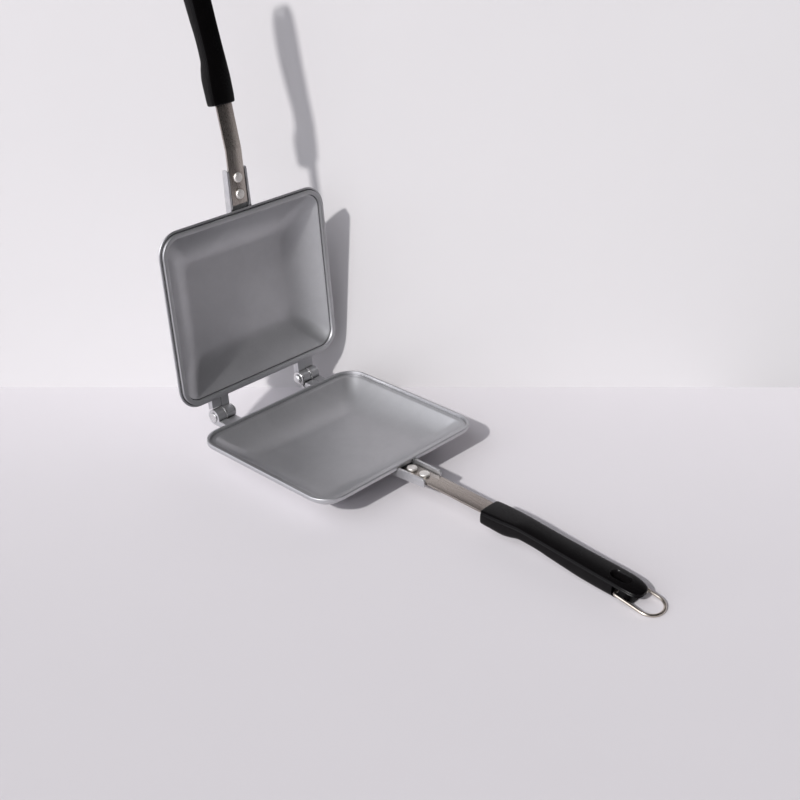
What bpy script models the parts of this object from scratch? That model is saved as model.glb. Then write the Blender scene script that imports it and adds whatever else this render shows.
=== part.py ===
"""Sandwich toaster iron: two dished pans hinged at the rear, each with a riveted handle, shown standing open.

Frame: metres, +Z up. X runs along the hinge, the handles point to -Y, and the origin is the centre of the
lower pan's foot on the table. Each half is drawn in its own half frame, whose origin is the centre of the rim
plane with the cavity going down to -Z. The upper half is the same drawing turned over.
"""

import math

import bmesh
import bpy
from mathutils import Matrix, Vector

# Fits
TOUCH_GAP = 0.0003
BORE_CLEARANCE = 0.0003
CUT_OVERRUN = 0.002
SMOOTH_ANGLE_DEG = 35.0

# Pan outline and section
PAN_WIDTH = 0.146
PAN_DEPTH = 0.1238
PAN_HEIGHT = 0.0215
PAN_CORNER_RADIUS = 0.016
LOWER_RIM_BAND_HEIGHT = 0.0028
UPPER_RIM_BAND_HEIGHT = 0.0008
RIM_EDGE_ROUND = 0.0006
CAVITY_DEPTH = 0.016
CAVITY_FLOOR_INSET = 0.032
CAVITY_FLOOR_CORNER_RADIUS = 0.0075
BASE_THICKNESS = 0.0038
FOOT_INSET = 0.025
WALL_OUTER_INSET = 0.030
PARTING_GAP = TOUCH_GAP

# Seal between the pans: the lower pan's lip and land, and the upper pan's tongue
LIP_WIDTH = 0.0018
LAND_DEPTH = 0.0022
LAND_WIDTH = 0.0038
TONGUE_WIDTH = 0.0029
TONGUE_HEIGHT = 0.0019

# Curves of the dished walls: points along each, and how soon they level out
CAVITY_CURVE_POWER = 2.0
OUTER_CURVE_POWER = 1.4
CAVITY_CURVE_STEPS = 9
OUTER_CURVE_STEPS = 6
CORNER_STEPS = 6

# Hinge
HINGE_SETBACK = 0.01237
HINGE_RISE = 0.00075
HINGE_STATION_INNER = 0.0329
KNUCKLE_RADIUS = 0.0054
KNUCKLE_LENGTH = 0.0065
KNUCKLE_GAP = 0.0018
KNUCKLE_RELIEF = 0.0008
HINGE_LUG_DROP = 0.0004
HINGE_LUG_STEP = 0.0002
UPPER_LUG_THICKNESS = 0.0049
ROOT_DEPTH = 0.0009
ROOT_SHOULDER_DROP = 0.0027
LUG_ROOT_DEPTH = 0.006
STOP_ANGLE_DEG = 45.0
STOP_TOOTH_SPAN_DEG = 34.0
STOP_TOOTH_RADIUS = 0.0076
STOP_TOOTH_ROOT = 0.004
OPEN_ANGLE_DEG = 95.73
ARC_STEPS = 8
PIN_RADIUS = 0.0022
PIN_HEAD_RADIUS = 0.0035
PIN_HEAD_HEIGHT = 0.0018
PIN_PEEN_RADIUS = 0.0033
PIN_PEEN_HEIGHT = 0.0006
WASHER_RADIUS = 0.0049
WASHER_THICKNESS = 0.0008
ROUND_SEGMENTS = 24
# Dome and peened end of the pin as shares of their radius and height
PIN_DOME_SHARES = ((0.35, 1.0), (0.38, 0.92), (0.71, 0.71), (0.92, 0.38), (1.0, 0.0))
PIN_PEEN_SHARES = ((1.0, 0.0), (1.0, 0.5), (0.85, 1.0))

# Channel at the front of each pan that takes the handle strip
CHANNEL_WIDTH = 0.017
CHANNEL_WALL = 0.0018
CHANNEL_FLARE = 0.0005
CHANNEL_TOP_DROP = 0.00145
CHANNEL_END_ROUND = 0.002
CHANNEL_WEB_THICKNESS = 0.0011
CHANNEL_ROOT_DEPTH = 0.0085
LOWER_CHANNEL_LENGTH = 0.0228
UPPER_CHANNEL_LENGTH = 0.027
LOWER_CHANNEL_END_BOTTOM = 0.007
UPPER_CHANNEL_END_BOTTOM = 0.0064
LOWER_CHANNEL_ROOT_BOTTOM = 0.0083
UPPER_CHANNEL_ROOT_BOTTOM = 0.0071
POCKET_DEPTH = 0.0011
POCKET_TOP_DROP = 0.0009

# Handle strip
STRIP_WIDTH = 0.013
STRIP_THICKNESS = 0.0014
STRIP_BEND_RADIUS = 0.004
STRIP_BEND_STEPS = 4
STRIP_TANG = 0.022
LOWER_STRIP_TOP_DROP = 0.00425
UPPER_STRIP_TOP_DROP = 0.00185
LOWER_STRIP_SETBACK = 0.0008
UPPER_STRIP_SETBACK = 0.0028
LOWER_STRIP_BEND_START = 0.0245
UPPER_STRIP_BEND_START = 0.0395
LOWER_STRIP_BEND_DEG = 1.6
UPPER_STRIP_BEND_DEG = 8.0

# Rivets that hold the strip
LOWER_RIVET_FIRST = 0.0048
UPPER_RIVET_FIRST = 0.0096
LOWER_RIVET_PITCH = 0.0108
UPPER_RIVET_PITCH = 0.0114
RIVET_HEAD_RADIUS = 0.0035
RIVET_HEAD_HEIGHT = 0.0018
RIVET_SHANK_RADIUS = 0.002
RIVET_TAIL_RADIUS = 0.0031
RIVET_TAIL_HEIGHT = 0.0009
# Head and peened tail of a rivet as shares of their radius and height
RIVET_HEAD_SHARES = ((1.0, 0.0), (1.0, 0.55), (0.94, 0.80), (0.80, 0.95), (0.45, 1.0))
RIVET_TAIL_SHARES = ((0.8, 1.0), (1.0, 0.5), (1.0, 0.0))

# Grip: overall sizes, then the stations along it as shares of them
GRIP_DISTANCE = 0.0691
GRIP_LENGTH = 0.1164
GRIP_HALF_WIDTH = 0.009
GRIP_TOP = 0.0038
GRIP_BOTTOM = 0.0092
GRIP_DROOP = 0.0048
GRIP_CROWN_HEIGHT = 0.0009
GRIP_CREASE_DEPTH = 0.0006
GRIP_CREASE_WIDTH = 0.0008
# Shares of the length, half width, top, bottom and droop at each station
GRIP_STATION_SHARES = (
    (0.000, 0.930, 0.68, 0.90, 0.000),
    (0.013, 0.980, 0.71, 0.92, 0.000),
    (0.051, 1.000, 0.76, 0.93, 0.000),
    (0.145, 0.975, 0.86, 1.00, 0.000),
    (0.205, 0.920, 0.92, 0.88, 0.010),
    (0.256, 0.880, 0.98, 0.67, 0.060),
    (0.342, 0.860, 0.96, 0.67, 0.160),
    (0.402, 0.860, 0.94, 0.70, 0.240),
    (0.444, 0.860, 0.93, 0.77, 0.290),
    (0.547, 0.870, 0.91, 0.87, 0.420),
    (0.658, 0.890, 0.90, 0.95, 0.560),
    (0.820, 0.920, 0.94, 0.91, 0.770),
    (0.890, 0.920, 0.92, 0.84, 0.860),
    (0.923, 0.880, 0.85, 0.78, 0.900),
    (0.966, 0.760, 0.70, 0.66, 0.960),
    (0.987, 0.600, 0.58, 0.54, 0.985),
    (1.000, 0.340, 0.46, 0.38, 1.000),
)
# Crown of the grip's top as shares: across the half width, and down the crown's height
GRIP_CROWN_SHARES = ((0.0, 0.0), (0.45, 0.12), (0.75, 0.38), (0.92, 0.72), (1.0, 1.0))
# Belly under the crease as shares: across the half width, and down to the bottom
GRIP_BELLY_SHARES = ((1.0, 0.35), (0.97, 0.70), (0.84, 0.93), (0.60, 1.0), (0.0, 1.0))

# Oblong hanging slot near the grip's end
SLOT_LENGTH = 0.0135
SLOT_WIDTH = 0.007
SLOT_END_DISTANCE = 0.0095
SLOT_CORNER_STEPS = 6

# Recess round the grip's lower body near its end, which gives the wire ring room
RECESS_LENGTH = 0.0172
RECESS_DEPTH = 0.002
RECESS_SETBACK = 0.0045
RECESS_START_DROP = 0.0032
RECESS_END_DROP = 0.0056

# Wire ring in the lower grip
WIRE_RADIUS = 0.001
RING_HALF_WIDTH = 0.0096
RING_LEG = 0.0187
RING_BOW = 0.009
RING_BEND_RADIUS = 0.002
RING_END_REACH = 0.005
RING_PIVOT_DISTANCE = 0.0148
RING_PIVOT_DROP = 0.0067
RING_BOW_STEPS = 14
RING_BEND_STEPS = 4
RING_SQUARENESS = 2.1

# Finishes: base colour, roughness and metallic value
CAST_FINISH = ((0.33, 0.33, 0.34), 0.42, 0.85)
STRIP_FINISH = ((0.45, 0.42, 0.39), 0.35, 1.0)
RIVET_FINISH = ((0.66, 0.64, 0.61), 0.32, 1.0)
PIN_FINISH = ((0.62, 0.61, 0.60), 0.3, 1.0)
WIRE_FINISH = ((0.70, 0.66, 0.60), 0.22, 1.0)
GRIP_FINISH = ((0.014, 0.014, 0.015), 0.38, 0.0)

# Places worked out from the sizes above
RIM_FRONT = -PAN_DEPTH / 2
HINGE_Y = PAN_DEPTH / 2 + HINGE_SETBACK
HINGE_Z = PAN_HEIGHT + HINGE_RISE
HINGE_STATION_OUTER = HINGE_STATION_INNER + 2 * KNUCKLE_LENGTH + KNUCKLE_GAP
LOWER_LUG_THICKNESS = KNUCKLE_RADIUS - HINGE_RISE - HINGE_LUG_DROP
CHANNEL_INNER_HALF = CHANNEL_WIDTH / 2 - CHANNEL_WALL


def corner_radius(inset):
    """Corner radius of the pan's outline at a distance in from the rim's outer edge."""
    cavity_start = LIP_WIDTH + LAND_WIDTH
    if inset <= cavity_start:
        return PAN_CORNER_RADIUS - inset
    share = min((inset - cavity_start) / (CAVITY_FLOOR_INSET - cavity_start), 1.0)
    start = PAN_CORNER_RADIUS - cavity_start
    return start + share * (CAVITY_FLOOR_CORNER_RADIUS - start)


def rounded_outline(inset):
    """Points of the pan's rounded rectangle, drawn anticlockwise seen from above."""
    radius = corner_radius(inset)
    half_x = PAN_WIDTH / 2 - inset - radius
    half_y = PAN_DEPTH / 2 - inset - radius
    points = []
    for quarter, (side_x, side_y) in enumerate(((1, 1), (-1, 1), (-1, -1), (1, -1))):
        for step in range(CORNER_STEPS + 1):
            angle = math.pi / 2 * (quarter + step / CORNER_STEPS)
            x = side_x * half_x + radius * math.cos(angle)
            y = side_y * half_y + radius * math.sin(angle)
            points.append((x, y))
    return points


def levelling_curve(start, end, power, steps):
    """Points from start to end that fall steeply at first and level out, end left off."""
    points = []
    for step in range(steps):
        share = step / steps
        fall = 1 - (1 - share) ** power
        points.append((start[0] + share * (end[0] - start[0]), start[1] + fall * (end[1] - start[1])))
    return points


def outer_wall_drop(rim_band, inset):
    """Depth of the dished outer wall below the rim at a distance in from the edge."""
    share = inset / WALL_OUTER_INSET
    underside = CAVITY_DEPTH + BASE_THICKNESS
    return rim_band + (underside - rim_band) * (1 - (1 - share) ** OUTER_CURVE_POWER)


def pan_section(half):
    """Section of a pan as inset and height pairs, from the foot's edge round to the cavity floor."""
    section = [(FOOT_INSET, -PAN_HEIGHT)]
    for step in range(OUTER_CURVE_STEPS, -1, -1):
        inset = FOOT_INSET * step / OUTER_CURVE_STEPS
        section.append((inset, -outer_wall_drop(half.rim_band, inset)))
    diagonal = RIM_EDGE_ROUND * (1 - math.sqrt(0.5))
    section += [(0, -RIM_EDGE_ROUND), (diagonal, -diagonal), (RIM_EDGE_ROUND, 0)]
    cavity_start = LIP_WIDTH + LAND_WIDTH
    if half.is_upper:
        tongue_outer = LIP_WIDTH + TOUCH_GAP
        tongue_inner = tongue_outer + TONGUE_WIDTH
        section += [(tongue_outer, 0), (tongue_outer, TONGUE_HEIGHT), (tongue_inner, TONGUE_HEIGHT)]
        cavity_edge = (tongue_inner + RIM_EDGE_ROUND, 0)
    else:
        section += [(LIP_WIDTH, 0), (LIP_WIDTH, -LAND_DEPTH)]
        cavity_edge = (cavity_start, -LAND_DEPTH)
    floor_edge = (CAVITY_FLOOR_INSET, -CAVITY_DEPTH)
    section += levelling_curve(cavity_edge, floor_edge, CAVITY_CURVE_POWER, CAVITY_CURVE_STEPS)
    section.append(floor_edge)
    return section


def pan_body(half):
    """The dished pan alone: one ring of the outline for each point of the section, capped on both floors."""
    bm = bmesh.new()
    rings = []
    for inset, height in pan_section(half):
        rings.append([bm.verts.new((x, y, height)) for x, y in rounded_outline(inset)])
    skin_rings(bm, rings)
    return bm


def skin_rings(bm, rings):
    """Joins neighbouring rings with faces and caps the first and the last."""
    for lower, upper in zip(rings, rings[1:]):
        count = len(lower)
        for index in range(count):
            following = (index + 1) % count
            bm.faces.new((lower[index], lower[following], upper[following], upper[index]))
    bm.faces.new(list(reversed(rings[0])))
    bm.faces.new(rings[-1])
    bmesh.ops.recalc_face_normals(bm, faces=bm.faces)


def prism(outline, start, end):
    """A closed outline in the YZ plane, extruded along X."""
    bm = bmesh.new()
    rings = [[bm.verts.new((x, y, z)) for y, z in outline] for x in (start, end)]
    skin_rings(bm, rings)
    return bm


def upright_prism(outline, bottom, top):
    """A closed outline in the XY plane, extruded along Z."""
    bm = bmesh.new()
    rings = [[bm.verts.new((x, y, z)) for x, y in outline] for z in (bottom, top)]
    skin_rings(bm, rings)
    return bm


def turned(profile, segments=ROUND_SEGMENTS):
    """A solid turned about Z from radius and height pairs, capped flat at both ends."""
    bm = bmesh.new()
    rings = []
    for radius, height in profile:
        ring = []
        for step in range(segments):
            angle = 2 * math.pi * step / segments
            ring.append(bm.verts.new((radius * math.cos(angle), radius * math.sin(angle), height)))
        rings.append(ring)
    skin_rings(bm, rings)
    return bm


def arc(centre, radius, start_deg, end_deg, steps):
    """Points along an arc in the YZ plane, both ends included; 0 degrees points to -Y, 90 to -Z."""
    points = []
    for step in range(steps + 1):
        angle = math.radians(start_deg + (end_deg - start_deg) * step / steps)
        points.append((centre[0] - radius * math.cos(angle), centre[1] - radius * math.sin(angle)))
    return points


def turned_over(bm):
    """The same solid reflected in the rim plane, for the upper half."""
    bmesh.ops.scale(bm, vec=(1, 1, -1), verts=bm.verts)
    bmesh.ops.reverse_faces(bm, faces=bm.faces)
    return bm


def axis_angle(height_below_axis, radius):
    """Angle in degrees at which a circle about the hinge axis reaches a depth below it."""
    return math.degrees(math.asin(max(-1.0, min(height_below_axis / radius, 1.0))))


def root_outline(rim, inward, bottom):
    """Points by which a lug or wall takes root in a pan: in under the rim, then deeper below the seal.

    rim is the rim's edge along Y, inward how far and which way the root goes in, and bottom its lowest height.
    """
    shoulder = (rim + math.copysign(ROOT_DEPTH, inward), -ROOT_SHOULDER_DROP)
    return [(rim + inward, bottom), shoulder]


def hinge_solids(half):
    """The +X hinge lug of a half: a block at the rim, relieved round the neighbour's knuckle, and a knuckle.

    The lower half has the outer knuckles, and the upper half the inner ones.
    """
    is_outer = not half.is_upper
    axis = (HINGE_Y, half.axis_height)
    rear = PAN_DEPTH / 2
    top = -HINGE_LUG_DROP
    bottom = top - half.lug_thickness
    relief = KNUCKLE_RADIUS + KNUCKLE_RELIEF
    knuckle_start = HINGE_STATION_INNER
    if is_outer:
        knuckle_start += KNUCKLE_LENGTH + KNUCKLE_GAP

    depth_below = half.axis_height - bottom
    depth_above = half.axis_height - top
    block_below = depth_below - HINGE_LUG_STEP
    block_above = depth_above + HINGE_LUG_STEP
    block = [(rear - ROOT_DEPTH - HINGE_LUG_STEP, half.axis_height - block_above)]
    block_end = STOP_ANGLE_DEG if is_outer else axis_angle(block_below, relief)
    block += arc(axis, relief, axis_angle(block_above, relief), block_end, ARC_STEPS)
    if is_outer:
        run = block_below / math.tan(math.radians(STOP_ANGLE_DEG))
        block.append((HINGE_Y - run, bottom + HINGE_LUG_STEP))
    block += root_outline(rear - HINGE_LUG_STEP, -LUG_ROOT_DEPTH, bottom + HINGE_LUG_STEP)

    knuckle = [(rear - ROOT_DEPTH, top)]
    first = axis_angle(depth_above, KNUCKLE_RADIUS)
    last = axis_angle(depth_below, KNUCKLE_RADIUS) - 360
    knuckle += arc(axis, KNUCKLE_RADIUS, first, last, ROUND_SEGMENTS)
    knuckle += root_outline(rear, -LUG_ROOT_DEPTH, bottom)
    solids = [
        prism(block, HINGE_STATION_INNER + HINGE_LUG_STEP, HINGE_STATION_OUTER - HINGE_LUG_STEP),
        prism(knuckle, knuckle_start, knuckle_start + KNUCKLE_LENGTH),
    ]
    if half.is_upper:
        solids.append(stop_tooth(axis, knuckle_start))
    return solids


def stop_tooth(axis, start):
    """Tooth on the upper half's knuckle that meets the lower lug's slanted end when the lid stands open."""
    contact_radius = (KNUCKLE_RADIUS + KNUCKLE_RELIEF + STOP_TOOTH_RADIUS) / 2
    gap_deg = math.degrees(TOUCH_GAP / contact_radius)
    first = -(STOP_ANGLE_DEG + gap_deg + OPEN_ANGLE_DEG)
    last = first - STOP_TOOTH_SPAN_DEG
    outline = arc(axis, STOP_TOOTH_RADIUS, first, last, ARC_STEPS)
    outline += arc(axis, STOP_TOOTH_ROOT, last, first, ARC_STEPS)
    return prism(outline, start, start + KNUCKLE_LENGTH)


def mirrored(bm):
    """A copy of a solid reflected across the middle of the object."""
    copy = bm.copy()
    bmesh.ops.scale(copy, vec=(-1, 1, 1), verts=copy.verts)
    bmesh.ops.reverse_faces(copy, faces=copy.faces)
    return copy


def flared(bm, end):
    """Spreads a solid of the channel sideways towards the pan."""
    for vert in bm.verts:
        share = (vert.co.y - end) / (RIM_FRONT - end)
        vert.co.x += math.copysign(CHANNEL_FLARE * share, vert.co.x)
    return bm


def channel_solids(half):
    """The two walls and the web of the channel that takes the handle strip."""
    end = RIM_FRONT - half.channel_length
    top = -CHANNEL_TOP_DROP
    web_bottom = half.web_top - CHANNEL_WEB_THICKNESS
    corner = (end + CHANNEL_END_ROUND, top - CHANNEL_END_ROUND)
    outline = [(RIM_FRONT + ROOT_DEPTH, top)] + arc(corner, CHANNEL_END_ROUND, -90, 0, ARC_STEPS)
    outline.append((end, -half.channel_end_bottom))
    outline += root_outline(RIM_FRONT, CHANNEL_ROOT_DEPTH, -half.channel_root_bottom)
    wall = flared(prism(outline, CHANNEL_INNER_HALF, CHANNEL_WIDTH / 2), end)
    web_start = RIM_FRONT + CHANNEL_ROOT_DEPTH
    web_end = end + CHANNEL_END_ROUND / 2
    web_outline = [(RIM_FRONT, half.web_top), (web_end, half.web_top), (web_end, web_bottom)]
    web_outline += [(RIM_FRONT, web_bottom), (web_start, -half.channel_end_bottom)]
    web_half = CHANNEL_INNER_HALF + CHANNEL_WALL / 2
    return [wall, mirrored(wall), flared(prism(web_outline, -web_half, web_half), end)]


def pocket_cut(half):
    """Cut under the rim's lip between the channel walls, where the strip's end is tucked."""
    outside = RIM_FRONT - POCKET_DEPTH / 2
    inside = RIM_FRONT + POCKET_DEPTH
    bottom = half.web_top - TOUCH_GAP
    outline = [(outside, -POCKET_TOP_DROP), (inside, -POCKET_TOP_DROP), (inside, bottom), (outside, bottom)]
    width = CHANNEL_INNER_HALF - TOUCH_GAP
    return prism(outline, -width, width)


def along_x(bm, x, y, z):
    """Turns a solid drawn about Z so that its axis runs along X through a point."""
    bmesh.ops.transform(bm, matrix=Matrix.Rotation(math.pi / 2, 4, "Y"), verts=bm.verts)
    bmesh.ops.translate(bm, vec=(x, y, z), verts=bm.verts)
    return bm


def bore_cut(axis_height):
    """Bore through the +X station's knuckle."""
    start = HINGE_STATION_INNER - CUT_OVERRUN
    length = HINGE_STATION_OUTER + CUT_OVERRUN - start
    radius = PIN_RADIUS + BORE_CLEARANCE
    return along_x(turned([(radius, 0), (radius, length)]), start, HINGE_Y, axis_height)


def rivet_places(half):
    """Y of each rivet in the half frame, the one nearer the pan first."""
    first = RIM_FRONT - half.rivet_first
    return [first, first - half.rivet_pitch]


def rivet_cuts(half):
    """Holes for the two rivets through the strip and the web."""
    radius = RIVET_SHANK_RADIUS + BORE_CLEARANCE
    cuts = []
    for y in rivet_places(half):
        hole = turned([(radius, -PAN_HEIGHT), (radius, 0)])
        bmesh.ops.translate(hole, vec=(0, y, 0), verts=hole.verts)
        cuts.append(hole)
    return cuts


def strip_centre_line(half):
    """Centre line of the strip in the half frame, from under the rim to its end inside the grip."""
    height = -(half.strip_top_drop + STRIP_THICKNESS / 2)
    bend_y = RIM_FRONT - half.strip_bend_start
    points = [(RIM_FRONT - half.strip_setback, height)]
    for step in range(STRIP_BEND_STEPS + 1):
        angle = half.slope * step / STRIP_BEND_STEPS
        drop = STRIP_BEND_RADIUS * (1 - math.cos(angle))
        points.append((bend_y - STRIP_BEND_RADIUS * math.sin(angle), height - drop))
    last_y, last_z = points[-1]
    front_y = RIM_FRONT - GRIP_DISTANCE
    front_z = last_z - (last_y - front_y) * math.tan(half.slope)
    points.append((front_y, front_z))
    points.append((front_y - STRIP_TANG * math.cos(half.slope), front_z - STRIP_TANG * math.sin(half.slope)))
    return points


def strip_body(half):
    """The handle strip: a flat ribbon that bends away a little before the grip."""
    line = strip_centre_line(half)
    upper = []
    lower = []
    for index, (y, z) in enumerate(line):
        before = line[max(index - 1, 0)]
        after = line[min(index + 1, len(line) - 1)]
        length = math.dist(before, after)
        normal = ((before[1] - after[1]) / length, (before[0] - after[0]) / length)
        rise = STRIP_THICKNESS / 2
        upper.append((y - rise * normal[0], z + rise * normal[1]))
        lower.append((y + rise * normal[0], z - rise * normal[1]))
    return prism(upper + lower[::-1], -STRIP_WIDTH / 2, STRIP_WIDTH / 2)


def grip_front(half):
    """Place of the grip's front face on the strip's centre line, in the half frame."""
    return strip_centre_line(half)[-2]


def grip_outline(half_width, top, bottom):
    """Right half of a grip section from the crown's middle to the belly's middle."""
    crease_height = top - GRIP_CROWN_HEIGHT
    points = [(half_width * across, top - GRIP_CROWN_HEIGHT * down) for across, down in GRIP_CROWN_SHARES]
    crease_x = half_width - GRIP_CREASE_DEPTH
    points.append((crease_x, crease_height - GRIP_CREASE_WIDTH / 2))
    points.append((half_width, crease_height - GRIP_CREASE_WIDTH))
    side_top = crease_height - GRIP_CREASE_WIDTH
    for across, down in GRIP_BELLY_SHARES:
        points.append((half_width * across, side_top - (side_top + bottom) * down))
    return points


def grip_body():
    """The grip about its front face: sections lofted along -Y."""
    bm = bmesh.new()
    rings = []
    for along, width, top, bottom, droop in GRIP_STATION_SHARES:
        right = grip_outline(GRIP_HALF_WIDTH * width, GRIP_TOP * top, GRIP_BOTTOM * bottom)
        left = [(-x, z) for x, z in right[-2:0:-1]]
        y = -GRIP_LENGTH * along
        rings.append([bm.verts.new((x, y, z - GRIP_DROOP * droop)) for x, z in right + left])
    skin_rings(bm, rings)
    return bm


def tang_cut():
    """Slot in the grip's front that takes the strip's end."""
    half = STRIP_WIDTH / 2 + TOUCH_GAP
    rise = STRIP_THICKNESS / 2 + TOUCH_GAP
    end = -(STRIP_TANG + TOUCH_GAP)
    outline = [(CUT_OVERRUN, rise), (end, rise), (end, -rise), (CUT_OVERRUN, -rise)]
    return prism(outline, -half, half)


def slot_cut():
    """Oblong hanging slot through the grip near its end."""
    radius = SLOT_WIDTH / 2
    middle = -(GRIP_LENGTH - SLOT_END_DISTANCE - SLOT_LENGTH / 2)
    straight = SLOT_LENGTH / 2 - radius
    outline = []
    for end, first_deg in ((1, 0), (-1, 180)):
        for step in range(2 * SLOT_CORNER_STEPS + 1):
            angle = math.radians(first_deg + 180 * step / (2 * SLOT_CORNER_STEPS))
            outline.append((radius * math.cos(angle), middle + end * straight + radius * math.sin(angle)))
    return upright_prism(outline, -GRIP_BOTTOM - GRIP_DROOP - CUT_OVERRUN, GRIP_TOP + CUT_OVERRUN)


def recess_cuts():
    """Cuts below the crease near the grip's end: one along each side and one across the end."""
    start = -(GRIP_LENGTH - RECESS_LENGTH)
    set_back = -(GRIP_LENGTH - RECESS_SETBACK)
    end = -(GRIP_LENGTH + CUT_OVERRUN)
    bottom = -(GRIP_BOTTOM + GRIP_DROOP + CUT_OVERRUN)
    fall = (RECESS_END_DROP - RECESS_START_DROP) / (start - end)
    middle_drop = RECESS_START_DROP + fall * (start - set_back)
    roof_end = (end, -RECESS_END_DROP)
    along = [(start, -RECESS_START_DROP), roof_end, (end, bottom), (start, bottom)]
    across = [(set_back, -middle_drop), roof_end, (end, bottom), (set_back, bottom)]
    inner = GRIP_HALF_WIDTH - RECESS_DEPTH
    outer = GRIP_HALF_WIDTH + CUT_OVERRUN
    side = prism(along, inner, outer)
    return [side, mirrored(side), prism(across, -outer, outer)]


def ring_socket_cuts():
    """Blind holes in the grip's sides that hold the ends of the wire ring."""
    radius = WIRE_RADIUS + BORE_CLEARANCE
    start = RING_HALF_WIDTH - RING_END_REACH - TOUCH_GAP
    length = GRIP_HALF_WIDTH + CUT_OVERRUN - start
    y = -(GRIP_LENGTH - RING_PIVOT_DISTANCE)
    socket = along_x(turned([(radius, 0), (radius, length)]), start, y, -RING_PIVOT_DROP)
    return [socket, mirrored(socket)]


def ring_points():
    """Centre line of the wire ring about its pivot, in the XY plane: end, bend, leg, bow and back."""
    end_x = RING_HALF_WIDTH - RING_END_REACH
    half = [(end_x, 0)]
    for step in range(RING_BEND_STEPS + 1):
        angle = math.pi / 2 * step / RING_BEND_STEPS
        x = RING_HALF_WIDTH - RING_BEND_RADIUS * (1 - math.sin(angle))
        half.append((x, -RING_BEND_RADIUS * (1 - math.cos(angle))))
    power = 2 / RING_SQUARENESS
    for step in range(RING_BOW_STEPS // 2 + 1):
        angle = math.pi / 2 * step / (RING_BOW_STEPS // 2)
        x = RING_HALF_WIDTH * math.cos(angle) ** power if step < RING_BOW_STEPS // 2 else 0
        half.append((x, -(RING_LEG + RING_BOW * math.sin(angle) ** power)))
    return half + [(-x, y) for x, y in half[-2::-1]]


def mesh_object(name, bm, finish=None, parent=None, location=(0, 0, 0), turn=0.0):
    """Puts a solid in the scene as an object placed under its parent, turned about X."""
    mesh = bpy.data.meshes.new(name)
    bm.to_mesh(mesh)
    bm.free()
    item = bpy.data.objects.new(name, mesh)
    bpy.context.scene.collection.objects.link(item)
    item.parent = parent
    item.location = location
    item.rotation_euler = (turn, 0, 0)
    if finish is not None:
        mesh.materials.append(plain_material(name, finish))
        mesh.shade_smooth()
        mesh.set_sharp_from_angle(angle=math.radians(SMOOTH_ANGLE_DEG))
    return item


def combine(target, solids, operation):
    """Joins solids to the target or cuts them from it; each is drawn in the target's own frame."""
    for index, bm in enumerate(solids):
        name = f"{target.name}_{operation.lower()}_{index}"
        guide = mesh_object(name, bm, None, target.parent, target.location, target.rotation_euler.x)
        guide.hide_render = True
        guide.display_type = "WIRE"
        modifier = target.modifiers.new(name, "BOOLEAN")
        modifier.operation = operation
        modifier.solver = "EXACT"
        modifier.object = guide


def plain_material(name, finish):
    """An object's own Principled material from a finish: base colour, roughness and metallic value."""
    colour, roughness, metallic = finish
    material = bpy.data.materials.new(f"{name}_finish")
    material.use_nodes = True
    shader = material.node_tree.nodes["Principled BSDF"]
    shader.inputs["Base Color"].default_value = (*colour, 1.0)
    shader.inputs["Roughness"].default_value = roughness
    shader.inputs["Metallic"].default_value = metallic
    return material


def empty(name, location, turn=0.0, parent=None):
    """An empty that carries a body on its joint's axis."""
    item = bpy.data.objects.new(name, None)
    bpy.context.scene.collection.objects.link(item)
    item.parent = parent
    item.location = location
    item.rotation_euler = (turn, 0, 0)
    return item


class Half:
    """One half of the iron: where its half frame sits, and whether it is turned over."""

    def __init__(self, name, parent, origin, is_upper):
        self.name = name
        self.parent = parent
        self.origin = Vector(origin)
        self.is_upper = is_upper
        self.side = -1 if is_upper else 1
        self.axis_height = PARTING_GAP - HINGE_RISE if is_upper else HINGE_RISE
        self.rim_band = UPPER_RIM_BAND_HEIGHT if is_upper else LOWER_RIM_BAND_HEIGHT
        self.lug_thickness = UPPER_LUG_THICKNESS if is_upper else LOWER_LUG_THICKNESS
        self.channel_length = UPPER_CHANNEL_LENGTH if is_upper else LOWER_CHANNEL_LENGTH
        self.channel_end_bottom = UPPER_CHANNEL_END_BOTTOM if is_upper else LOWER_CHANNEL_END_BOTTOM
        self.channel_root_bottom = UPPER_CHANNEL_ROOT_BOTTOM if is_upper else LOWER_CHANNEL_ROOT_BOTTOM
        self.strip_top_drop = UPPER_STRIP_TOP_DROP if is_upper else LOWER_STRIP_TOP_DROP
        self.strip_setback = UPPER_STRIP_SETBACK if is_upper else LOWER_STRIP_SETBACK
        self.strip_bend_start = UPPER_STRIP_BEND_START if is_upper else LOWER_STRIP_BEND_START
        self.slope = math.radians(UPPER_STRIP_BEND_DEG if is_upper else LOWER_STRIP_BEND_DEG)
        self.rivet_first = UPPER_RIVET_FIRST if is_upper else LOWER_RIVET_FIRST
        self.rivet_pitch = UPPER_RIVET_PITCH if is_upper else LOWER_RIVET_PITCH
        self.web_top = -(self.strip_top_drop + STRIP_THICKNESS + TOUCH_GAP)

    def facing(self, bm):
        """Turns a solid of the half frame over where this is the upper half."""
        return turned_over(bm) if self.is_upper else bm

    def place(self, y, z):
        """A point of the half frame as a location under this half's parent."""
        return self.origin + Vector((0, y, self.side * z))

    def make(self, piece, bm, finish, y=0.0, z=0.0, turn=0.0):
        """Makes one named piece of this half from a solid drawn about a point of the half frame."""
        where = self.place(y, z)
        name = f"{self.name}_{piece}"
        return mesh_object(name, self.facing(bm), finish, self.parent, where, self.side * turn)


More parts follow.
